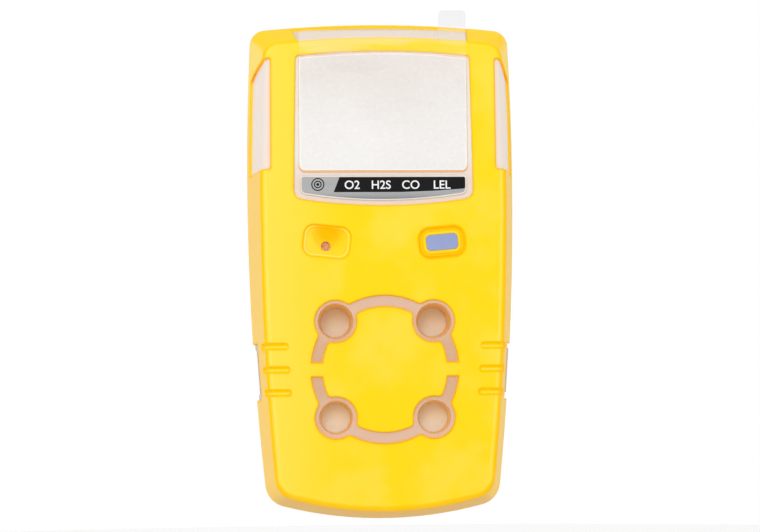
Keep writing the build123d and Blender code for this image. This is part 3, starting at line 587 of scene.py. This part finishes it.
def metal(name, color, rough=0.3, stretch=(1, 1, 14)):
    """Rolled or turned metal with fine directional lines."""
    m = Shader(name, color, rough, Metallic=1.0)
    lines = m.noise(900, 3.0, 0.6, stretch)
    m.roughness(m.remap(lines, rough * 0.75, rough * 1.3))
    m.color(m.mix(m.rise(m.noise(300, 2.0)), color, shade(color, 0.86)))
    m.bump(lines, 0.006 * MM, 0.6, edge=0.12 * MM)
    return m.material


MATERIALS = {
    "overmold_yellow": overmold("overmold"),
    "key_yellow": overmold("key_rubber", 0.5),
    "shell_clear": resin("resin"),
    "window_clear": lens("lens"),
    "film": film("film"),
    "nameplate": painted("plate_silver", (0.40, 0.41, 0.43), 0.32, metallic=0.35),
    "key_blue": painted("key_lavender", (0.29, 0.34, 0.58), 0.45, 700, depth=0.03, level=0.3),
    "black_plastic": painted("black_plastic", (0.02, 0.02, 0.022), 0.45),
    "white_plastic": painted("white_plastic", (0.74, 0.74, 0.72), 0.42),
    "lcd_glass": painted("lcd_glass", (0.42, 0.46, 0.40), 0.12),
    "board_green": painted("solder_mask", (0.02, 0.15, 0.06), 0.35),
    "chip_black": painted("chip_black", (0.02, 0.02, 0.022), 0.5),
    "led": painted("led_red", (0.62, 0.05, 0.03), 0.2),
    "foam": painted("foam_black", (0.03, 0.03, 0.032), 0.9, 700, depth=0.1),
    "filter_white": membrane("membrane"),
    "sensor_case": painted("sensor_case", (0.62, 0.63, 0.62), 0.45),
    "battery_foil": painted("battery_foil", (0.5, 0.51, 0.53), 0.3, metallic=0.8),
    "seal_rubber": painted("seal_rubber", (0.08, 0.08, 0.085), 0.7),
    "label": painted("label_grey", (0.62, 0.63, 0.645), 0.42),
    "gold": metal("gold_contact", (0.95, 0.69, 0.28), 0.18, (1, 1, 1)),
    "brass": metal("brass", (0.72, 0.52, 0.23), 0.32, (1, 1, 1)),
    "steel": metal("steel", (0.52, 0.52, 0.53), 0.3, (1, 1, 1)),
    "nickel": metal("nickel_plate", (0.60, 0.59, 0.57), 0.22),
    "spring_steel": metal("spring_wire", (0.45, 0.45, 0.46), 0.25, (14, 1, 1)),
    "ir_black": painted("infrared_window", (0.03, 0.008, 0.014), 0.08),
}

slot_of = {entry["node"]: entry["material_slot"] for entry in frame["record"]["subparts"]}
for name, node in frame["nodes"].items():
    node.data.materials.clear()
    node.data.materials.append(MATERIALS[slot_of[name]])

sounder_screen = speckled("sounder_screen", (0.86, 0.43, 0.20), (0.50, 0.20, 0.09), 0.3)
frame["nodes"]["buzzer_membrane"].data.materials[0] = sounder_screen

# ---- mesh helpers --------------------------------------------------------------------------------


QUARTERS = ((-1, -1), (1, -1), (1, 1), (-1, 1))


def rounded(corners, steps=7):
    """Outline through (x, z, radius) corners, each rounded by an arc of its radius."""
    path = []
    count = len(corners)
    for index, (x, z, radius) in enumerate(corners):
        here = Vector((x, z))
        if radius <= 0:
            path.append(here)
            continue
        before = (Vector(corners[index - 1][:2]) - here).normalized()
        after = (Vector(corners[(index + 1) % count][:2]) - here).normalized()
        half = before.angle(after) / 2
        centre = here + (before + after).normalized() * (radius / math.sin(half))
        start = here + before * (radius / math.tan(half)) - centre
        end = here + after * (radius / math.tan(half)) - centre
        first = math.atan2(start.y, start.x)
        sweep = math.remainder(math.atan2(end.y, end.x) - first, 2 * math.pi)
        for step in range(steps):
            turn = first + sweep * step / (steps - 1)
            path.append(centre + Vector((math.cos(turn), math.sin(turn))) * radius)
    return path


def bowed(x0, x1, z, rise, count=13):
    """Points from x0 to x1 along a shallow bow that starts and ends at height z."""
    points = []
    for step in range(count):
        t = step / (count - 1)
        points.append((x0 + (x1 - x0) * t, z + rise * (1 - (2 * t - 1) ** 2), 0.0))
    return points


def with_radius(points, radius):
    """The same points, with a corner radius at the first and the last."""
    ends = (0, len(points) - 1)
    return [(x, z, radius if index in ends else 0.0) for index, (x, z, _) in enumerate(points)]


def pill(width, height, radius, spot, tilt):
    """Rounded rectangle turned about its own centre, given by width, height and tilt in degrees."""
    turn = Matrix.Rotation(math.radians(tilt), 2)
    flat = rounded([(right * width / 2, up * height / 2, radius) for right, up in QUARTERS])
    return [turn @ point + Vector(spot) for point in flat]


def disc(radius, spot, count=32):
    """Circle as a closed outline."""
    turns = [2 * math.pi * step / count for step in range(count)]
    return [Vector((spot[0] + radius * math.cos(a), spot[1] + radius * math.sin(a))) for a in turns]


def finish_mesh(name, form, material, slot, body="housing", bevel=0.0, segments=3, edge_angle=30.0):
    """Turn a bmesh into a named piece that rides a body if one is given, with a rounded-edge modifier if
    a bevel is given.
    """
    bmesh.ops.recalc_face_normals(form, faces=form.faces)
    mesh = bpy.data.meshes.new(name)
    form.to_mesh(mesh)
    form.free()
    mesh.shade_smooth()
    piece = bpy.data.objects.new(name, mesh)
    bpy.context.collection.objects.link(piece)
    if bevel > 0:
        rounding = piece.modifiers.new("edges", "BEVEL")
        rounding.width = bevel * MM
        rounding.segments = segments
        rounding.limit_method = "ANGLE"
        rounding.angle_limit = math.radians(edge_angle)
        rounding.harden_normals = True
    else:
        mesh.set_sharp_from_angle(angle=math.radians(edge_angle))
    mesh.materials.append(material)
    if body:
        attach(piece, body)
    return piece


def slab(name, outline, front, back, material, slot, **options):
    """Closed plate of one outline in the XZ plane between two depths, front being the smaller y."""
    form = bmesh.new()
    near = [form.verts.new(at(p[0], front, p[1])) for p in outline]
    far = [form.verts.new(at(p[0], back, p[1])) for p in outline]
    form.faces.new(near)
    form.faces.new(list(reversed(far)))
    for index in range(len(outline)):
        after = (index + 1) % len(outline)
        form.faces.new((near[index], far[index], far[after], near[after]))
    return finish_mesh(name, form, material, slot, **options)


def hoop(name, loops, material, slot, **options):
    """Closed ring whose section runs through loops, each an outline with its depth."""
    form = bmesh.new()
    rows = [[form.verts.new(at(p[0], depth, p[1])) for p in outline] for outline, depth in loops]
    for index, row in enumerate(rows):
        other = rows[(index + 1) % len(rows)]
        for step in range(len(row)):
            after = (step + 1) % len(row)
            form.faces.new((row[step], row[after], other[after], other[step]))
    return finish_mesh(name, form, material, slot, **options)


# ---- shipping film -------------------------------------------------------------------------------

lens_low = low_of("display_lens")
lens_high = high_of("display_lens")
film_low = low_of("screen_film")
film_high = high_of("screen_film")
FRONT = lens_low.y
FILM_TOP = 108.6
FILM_CORNER = 0.9
FILM_MARGIN = 0.02
FILM_GAP = 0.04
FILM_STEPS = 24
FILM_ROWS = 44
FILM_THICKNESS = 0.1
WAVE_START = 96.0
WAVE_REACH = 13.0
WAVE_DEPTH = 0.05
TAB_LEFT = 12.5
TAB_CURL = 0.9


def film_columns():
    """Positions of the film's grid lines from left to right, closer together at its corners."""
    left = film_low.x
    right = film_high.x
    start = left + FILM_CORNER
    width = TAB_LEFT - FILM_MARGIN - start
    columns = [left + FILM_MARGIN, left + 0.3, start]
    columns += [start + width * step / FILM_STEPS for step in range(1, FILM_STEPS + 1)]
    columns += [TAB_LEFT, TAB_LEFT + 0.3, TAB_LEFT + FILM_CORNER, 14.2, 15.5, 16.8]
    return columns + [right - FILM_CORNER, right - 0.3, right - FILM_MARGIN]


def corner_drop(x, edge):
    """How far the film's top or bottom draws back beside its rounded corner at x = edge."""
    inward = FILM_CORNER - min(abs(x - edge), FILM_CORNER)
    return FILM_CORNER - math.sqrt(max(FILM_CORNER ** 2 - inward ** 2, 0.0))


def film_ends(x):
    """Lowest and highest point of the film at one position, the tab being higher."""
    left = corner_drop(x, film_low.x)
    right = corner_drop(x, film_high.x)
    if x >= TAB_LEFT:
        return film_low.z + left + right, film_high.z - corner_drop(x, TAB_LEFT) - right
    return film_low.z + left + right, FILM_TOP - left


def film_depth(x, z):
    """Depth of the film at one point: flat on the lens, slightly waved above it, curled at the tab."""
    wave = 1 + math.sin(0.31 * x + 0.4 * z)
    lift = WAVE_DEPTH * wave * max(0.0, (z - WAVE_START) / WAVE_REACH)
    curl = TAB_CURL * max(0.0, (z - FILM_TOP) / (film_high.z - FILM_TOP)) ** 2
    return FRONT - FILM_GAP - lift - curl


def add_film():
    """Thin sheet over the window, the band above it and the light bar, with a pull tab."""
    form = bmesh.new()
    grid = []
    for x in film_columns():
        bottom, top = film_ends(x)
        heights = [bottom + (top - bottom) * step / FILM_ROWS for step in range(FILM_ROWS + 1)]
        grid.append([form.verts.new(at(x, film_depth(x, z), z)) for z in heights])
    for first, second in zip(grid, grid[1:]):
        for step in range(FILM_ROWS):
            form.faces.new((first[step], second[step], second[step + 1], first[step + 1]))
    piece = finish_mesh("clear_film", form, MATERIALS["film"], "film", edge_angle=80)
    thickness = piece.modifiers.new("thickness", "SOLIDIFY")
    thickness.thickness = FILM_THICKNESS * MM
    thickness.offset = 1.0
    piece.visible_shadow = False
    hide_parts("screen_film")


add_film()

# ---- window surround -----------------------------------------------------------------------------

WINDOW_BOW = 1.05
WINDOW_CORNER = 1.3
RESIN_STEP = 0.5

lens_bead = adhesive("adhesive")


def window_outline(grow, drop=0.0):
    """Outline of the lens, larger by grow all round and by drop more along the bottom."""
    half = lens_high.x + grow
    side_top = lens_high.z - WINDOW_BOW + grow
    low = lens_low.z - grow - drop
    corner = WINDOW_CORNER + grow
    top = with_radius(bowed(-half, half, side_top, WINDOW_BOW), 0.5)
    return rounded(top + [(half, low, corner), (-half, low, corner)])


def add_window_adhesive():
    """Bead of adhesive squeezed out round the lens, heaviest along its lower edge."""
    resin_front = FRONT + RESIN_STEP
    loops = [
        (window_outline(0.02), resin_front + 0.02),
        (window_outline(0.02), resin_front - 0.3),
        (window_outline(0.09, 0.12), resin_front - 0.24),
        (window_outline(0.16, 0.30), resin_front + 0.02),
    ]
    hoop("lens_adhesive", loops, lens_bead, "window_clear", edge_angle=60)


add_window_adhesive()

# ---- nameplate -----------------------------------------------------------------------------------

plate_low = low_of("nameplate")
plate_high = high_of("nameplate")
PLATE_BOW = 1.5
PLATE_CORNER = 1.3
BAND_LOW = 72.25
BAND_HIGH = 75.6
BAND_LEFT = -11.1
BAND_SLANT = 1.3
BAND_MIDDLE = (BAND_LOW + BAND_HIGH) / 2
SWOOSH_TOP = ((-2.0, 72.0), (5.0, 71.98), (11.0, 72.16), (17.4, 72.75))
SWOOSH_UNDER = ((17.4, 72.5), (11.0, 71.85), (5.0, 71.7), (-2.0, 71.85))
LETTER_HEIGHT = 1.9
CAPITAL_SHARE = 0.72
GASES = (
    ("gas_one", "O2", -7.0),
    ("gas_two", "H2S", -0.6),
    ("gas_three", "CO", 6.0),
    ("gas_four", "LEL", 12.9),
)
MARK_SPOT = (-14.6, BAND_MIDDLE + 0.05)
MARK_RADII = (1.45, 0.85)
MARK_LINE = 0.24
MARK_DOT = 0.32
PRINT_RAISED = 0.012
PRINT_SUNK = 0.02
INTO_PLATE = 0.05


def plate_finish(name):
    """Brushed silver plate, with painted shade where it turns down along its bowed lower edge."""
    m = Shader(name, (0.40, 0.41, 0.41), 0.3, Metallic=0.3, Specular_IOR_Level=0.4)
    # Painted shade along the lower edge, where the plate turns down.
    turned = m.below(70.6, 72.2)
    lines = m.noise(900, 3.0, 0.6, (0.05, 1, 3))
    brushed = m.mix(m.rise(lines), (0.375, 0.385, 0.385), (0.325, 0.335, 0.335))
    m.color(m.mix(turned, brushed, (0.22, 0.22, 0.23)))
    m.roughness(m.remap(lines, 0.24, 0.38))
    m.bump(lines, 0.006 * MM, 0.5, edge=0.1 * MM)
    return m.material


plate_silver = plate_finish("plate_brushed")
plate_rim = painted("plate_rim", (0.80, 0.70, 0.63), 0.35, 900, level=0.3)
print_black = painted("print_black", (0.008, 0.008, 0.009), 0.5, 900, level=0.08)
print_white = painted("print_white", (0.86, 0.86, 0.86), 0.4, 900)
print_grey = painted("print_grey", (0.33, 0.34, 0.36), 0.4, 900)


def plate_outline(inset):
    """Outline of the nameplate, smaller by inset all round."""
    half = plate_high.x - inset
    side_low = plate_low.z + PLATE_BOW + inset
    top = plate_high.z - inset
    bottom = with_radius(bowed(-half, half, side_low, -PLATE_BOW), PLATE_CORNER - inset)
    return rounded(bottom + [(half, top, 0.45), (-half, top, 0.45)])


def add_text(name, body, x, z, height, depth, material):
    """Plain generic lettering as a thin raised print, centred on x."""
    data = bpy.data.curves.new(name, "FONT")
    data.body = body
    data.size = height * MM / CAPITAL_SHARE
    data.align_x = "CENTER"
    data.extrude = PRINT_RAISED * MM
    data.offset = 0.03 * MM
    lettering = bpy.data.objects.new(name, data)
    mesh = bpy.data.meshes.new_from_object(lettering)
    mesh.transform(Matrix.Translation(at(x, depth, z)) @ Matrix.Rotation(math.pi / 2, 4, "X"))
    form = bmesh.new()
    form.from_mesh(mesh)
    bmesh.ops.remove_doubles(form, verts=form.verts, dist=0.002 * MM)
    bpy.data.meshes.remove(mesh)
    bpy.data.objects.remove(lettering)
    return finish_mesh(name, form, material, "nameplate")


def add_plate(front, back):
    """Brushed plate with a bright raised rim."""
    outline = plate_outline(0.12)
    plate = slab("nameplate_body", outline, front, back, plate_silver, "nameplate", bevel=0.06)
    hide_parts("nameplate")
    loops = [
        (plate_outline(0.0), back),
        (plate_outline(0.0), front - 0.02),
        (plate_outline(0.08), front - 0.06),
        (plate_outline(0.2), front - 0.06),
        (plate_outline(0.26), front + 0.02),
    ]
    hoop("nameplate_rim", loops, plate_rim, "nameplate", edge_angle=60)


def add_band(front):
    """Black band with a slanted left end, and a grey line that sweeps along below it."""
    right = plate_high.x - 0.3
    under = [(BAND_LEFT, BAND_LOW, 0.0), (4.0, BAND_LOW, 0.0), (11.0, BAND_LOW + 0.25, 0.0)]
    end = [(right, BAND_LOW + 0.75, 0.5), (right, BAND_HIGH, 0.3)]
    band = rounded(under + end + [(BAND_LEFT + BAND_SLANT, BAND_HIGH, 0.0)])
    far = front + INTO_PLATE
    options = {"bevel": 0.01, "segments": 1}
    slab("nameplate_band", band, front - 0.02, far, print_black, "nameplate", **options)
    swoosh = [Vector(point) for point in SWOOSH_TOP + SWOOSH_UNDER]
    slab("nameplate_swoosh", swoosh, front - 0.015, far, print_grey, "nameplate")


def add_mark(front):
    """Pictogram of a sensor: two rings round a dot."""
    near = front - 0.03
    far = front + INTO_PLATE
    for index, radius in enumerate(MARK_RADII):
        inner = radius - MARK_LINE
        loops = [
            (disc(radius, MARK_SPOT), far),
            (disc(radius, MARK_SPOT), near),
            (disc(inner, MARK_SPOT), near),
            (disc(inner, MARK_SPOT), far),
        ]
        hoop("sensor_mark_ring_%d" % (index + 1), loops, print_black, "nameplate")
    slab("sensor_mark_dot", disc(MARK_DOT, MARK_SPOT), near, far, print_black, "nameplate")


def add_nameplate():
    """Plate, band, gas names and sensor pictogram."""
    front = plate_low.y
    add_plate(front, plate_high.y)
    add_band(front)
    base = BAND_MIDDLE - LETTER_HEIGHT / 2
    for name, body, x in GASES:
        add_text(name, body, x, base, LETTER_HEIGHT, front - 0.035, print_white)
    add_mark(front)


add_nameplate()

# ---- latch pads ----------------------------------------------------------------------------------

LATCH_LOW = 28.05
LATCH_HIGH = 37.95
LATCH_FRONT = -4.9
LATCH_BACK = -0.1
LATCH_PROUD = 0.3
LATCH_DEPTH = 1.6
NOTCH_FRONT = -5.0
NOTCH_MIDDLE = 33.0
NOTCH_CORE = 3.0
NOTCH_REACH = 7.0
FLANK_INNER = 20.0


def flank_edge(side):
    """Outer corners of the rubber at the front of one latch notch, lowest and highest, as (x, z)."""
    lower = []
    upper = []
    for vertex in frame["nodes"]["front_overmold"].data.vertices:
        x, y, z = (vertex.co - ORIGIN) / MM
        if abs(y - NOTCH_FRONT) > 0.01 or x * side < FLANK_INNER:
            continue
        if NOTCH_CORE < NOTCH_MIDDLE - z < NOTCH_REACH:
            lower.append((abs(x), z))
        elif NOTCH_CORE < z - NOTCH_MIDDLE < NOTCH_REACH:
            upper.append((abs(x), z))
    return max(lower), max(upper)


def add_latch_pad(name, side):
    """Clear pad of the front shell that stands a little proud in a latch notch."""
    low, high = flank_edge(side)
    slope = (high[0] - low[0]) / (high[1] - low[1])
    form = bmesh.new()
    rows = []
    for z in (LATCH_LOW, LATCH_HIGH):
        outer = side * (low[0] + slope * (z - low[1]) + LATCH_PROUD)
        inner = outer - side * LATCH_DEPTH
        corners = [(inner, LATCH_FRONT), (outer, LATCH_FRONT), (outer, LATCH_BACK), (inner, LATCH_BACK)]
        rows.append([form.verts.new(at(x, y, z)) for x, y in corners])
    form.faces.new(rows[0])
    form.faces.new(rows[1][::-1])
    for step in range(4):
        after = (step + 1) % 4
        form.faces.new((rows[0][step], rows[1][step], rows[1][after], rows[0][after]))
    finish_mesh(name, form, MATERIALS["shell_clear"], "shell_clear", bevel=0.12)


add_latch_pad("latch_pad_left", -1)
add_latch_pad("latch_pad_right", 1)

# ---- alarm key web -------------------------------------------------------------------------------

WEB_INNER = (8.46, 5.06, 1.68)
WEB_MIDDLE = (9.0, 5.6, 1.95)
WEB_OUTER = (9.5, 6.1, 2.15)


def add_key_web():
    """Thin rubber web that joins the alarm key to the floor of its groove."""
    inner = pill(*WEB_INNER, BUTTON_SPOT, BUTTON_TILT)
    middle = pill(*WEB_MIDDLE, BUTTON_SPOT, BUTTON_TILT)
    outer = pill(*WEB_OUTER, BUTTON_SPOT, BUTTON_TILT)
    loops = [
        (outer, -14.12),
        (middle, -14.2),
        (inner, -14.42),
        (inner, -14.36),
        (middle, -14.13),
        (outer, -14.03),
    ]
    rubber = MATERIALS["overmold_yellow"]
    web = hoop("key_web", loops, rubber, "overmold_yellow", body=None, edge_angle=60)
    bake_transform(web)


add_key_web()

# ---- clip spring ---------------------------------------------------------------------------------

PIVOT_Y = (low_of("clip_pin").y + high_of("clip_pin").y) / 2
PIVOT_Z = (low_of("clip_pin").z + high_of("clip_pin").z) / 2
WIRE = 0.35
COIL_RADIUS = 2.3
COIL_TURNS = 6
COIL_HALF = 2.4
COIL_STEPS = 16 * COIL_TURNS
LEG_EASE = 0.35
LEG_BEND = 1.2
LEG_TOP = 93.0


def wire(name, points, body):
    """Round spring wire through a list of design points."""
    data = bpy.data.curves.new(name, "CURVE")
    data.dimensions = "3D"
    data.bevel_depth = WIRE * MM
    data.bevel_resolution = 3
    data.use_fill_caps = True
    spline = data.splines.new("NURBS")
    spline.points.add(len(points) - 1)
    for point, spot in zip(spline.points, points):
        point.co = (*at(*spot), 1.0)
    spline.order_u = 3
    spline.use_endpoint_u = True
    spline.resolution_u = 4
    piece = bpy.data.objects.new(name, data)
    bpy.context.collection.objects.link(piece)
    data.materials.append(MATERIALS["spring_steel"])
    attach(piece, body)
    return piece


def leg_route(x, y):
    """Spring leg from the top of the coil across to depth y and up."""
    top = PIVOT_Z + COIL_RADIUS
    before_bend = y - (y - PIVOT_Y) * LEG_EASE
    across = [(x, PIVOT_Y, top), (x, before_bend, top), (x, y, top)]
    return across + [(x, y, top + LEG_BEND), (x, y, LEG_TOP)]


def add_spring():
    """Torsion spring: its coil and fixed leg stay with the base, its other leg follows the lever."""
    coil = []
    for step in range(COIL_STEPS + 1):
        t = step / COIL_STEPS
        turn = math.pi / 2 + 2 * math.pi * COIL_TURNS * t
        y = PIVOT_Y + COIL_RADIUS * math.cos(turn)
        z = PIVOT_Z + COIL_RADIUS * math.sin(turn)
        coil.append((COIL_HALF * (2 * t - 1), y, z))
    fixed_depth = low_of("clip_spring").y + WIRE
    moving_depth = high_of("clip_spring").y - WIRE
    body = wire("spring_coil", coil + leg_route(COIL_HALF, fixed_depth)[1:], "housing")
    wire("spring_leg", leg_route(-COIL_HALF, moving_depth), "clip_arm")
    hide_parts("clip_spring")


add_spring()

# ---- rating label --------------------------------------------------------------------------------

BORDER_INSET = 1.1
BORDER_LINE = 0.25
BORDER_CORNER = 1.3
RULE_COUNT = 6
RULE_MARGIN = 3.0
RULE_START = 5.2
RULE_PITCH = 4.2
RULE_LINE = 0.22

print_dark = painted("print_dark", (0.10, 0.10, 0.11), 0.5, 900, level=0.2)
label_low = low_of("rating_label")
label_high = high_of("rating_label")


def border_outline(inset):
    """Outline of the rating label, smaller by inset all round."""
    middle = (label_low.z + label_high.z) / 2
    half = label_high.x - inset
    tall = (label_high.z - label_low.z) / 2 - inset
    return rounded([(right * half, middle + up * tall, BORDER_CORNER) for right, up in QUARTERS])


def add_label_print():
    """Blank form printed on the rating label: a border and ruled fields, with no lettering."""
    under = label_high.y - PRINT_SUNK
    over = label_high.y + PRINT_RAISED
    outer = border_outline(BORDER_INSET)
    inner = border_outline(BORDER_INSET + BORDER_LINE)
    loops = [(outer, under), (outer, over), (inner, over), (inner, under)]
    hoop("label_border", loops, print_dark, "label")
    reach = label_high.x - RULE_MARGIN
    for index in range(RULE_COUNT):
        low = label_high.z - RULE_START - RULE_PITCH * index
        high = low + RULE_LINE
        corners = [Vector(spot) for spot in ((-reach, low), (reach, low), (reach, high), (-reach, high))]
        slab("label_rule_%d" % (index + 1), corners, under, over, print_dark, "label")


add_label_print()

# ---- camera, stage and light ---------------------------------------------------------------------
# AIM, BODY_MIDDLE and FLOOR_HEIGHT are in design millimetres. The other lengths are in metres.

AZIMUTH = math.radians(-3.0)
ELEVATION = math.radians(-5.1)
LEAN = math.radians(0.55)
DISTANCE = 430 * MM
LENS_MM = 90.63
AIM = (-0.59, -7, 56.51)
BODY_MIDDLE = (0, 0, FACE_MIDDLE)
FLOOR_HEIGHT = -22
FLOOR_RADIUS = 0.45
FLOOR_TONE = (0.92, 0.92, 0.92)
FLOOR_TONE_LOW = (0.90, 0.90, 0.90)
LIGHT_OFFSET = (-0.25, -0.85, 0.45)
LIGHT_SIZE = 0.5
LIGHT_POWER = 2.2


def add_camera():
    """Camera in front of the body, a little to the left and below, leaning slightly."""
    back = Vector((
        math.sin(AZIMUTH) * math.cos(ELEVATION),
        -math.cos(AZIMUTH) * math.cos(ELEVATION),
        math.sin(ELEVATION),
    ))
    data = bpy.data.cameras.new("camera")
    data.lens = LENS_MM
    camera = bpy.data.objects.new("camera", data)
    aim = at(*AIM)
    turn = back.to_track_quat("Z", "Y").to_matrix().to_4x4()
    lean = Matrix.Rotation(-LEAN, 4, "Z")
    camera.matrix_world = Matrix.Translation(aim + back * DISTANCE) @ turn @ lean
    bpy.context.collection.objects.link(camera)
    bpy.context.scene.camera = camera


def add_light():
    """Round soft light from the upper left, in front of the body."""
    data = bpy.data.lights.new("key", "AREA")
    data.shape = "DISK"
    data.size = LIGHT_SIZE
    data.energy = LIGHT_POWER
    light = bpy.data.objects.new("key", data)
    offset = Vector(LIGHT_OFFSET)
    turn = (-offset).to_track_quat("-Z", "Y").to_matrix().to_4x4()
    light.matrix_world = Matrix.Translation(at(*BODY_MIDDLE) + offset) @ turn
    bpy.context.collection.objects.link(light)


def add_floor():
    """Pale round floor below the body."""
    form = bmesh.new()
    bmesh.ops.create_circle(form, cap_ends=True, segments=96, radius=FLOOR_RADIUS)
    mesh = bpy.data.meshes.new("floor")
    form.to_mesh(mesh)
    form.free()
    floor = bpy.data.objects.new("floor", mesh)
    floor.location = at(0, 0, FLOOR_HEIGHT)
    bpy.context.collection.objects.link(floor)
    pale = Shader("floor", FLOOR_TONE, 0.8)
    pale.color(pale.mix(pale.rise(pale.noise(6)), FLOOR_TONE, FLOOR_TONE_LOW))
    mesh.materials.append(pale.material)


def add_world():
    """Even white light from all round."""
    world = bpy.data.worlds.new("studio")
    world.use_nodes = True
    background = world.node_tree.nodes["Background"]
    background.inputs["Color"].default_value = (1, 1, 1, 1)
    background.inputs["Strength"].default_value = 1.0
    bpy.context.scene.world = world


add_camera()
add_world()
add_light()
add_floor()
bpy.context.scene.view_settings.view_transform = "Standard"
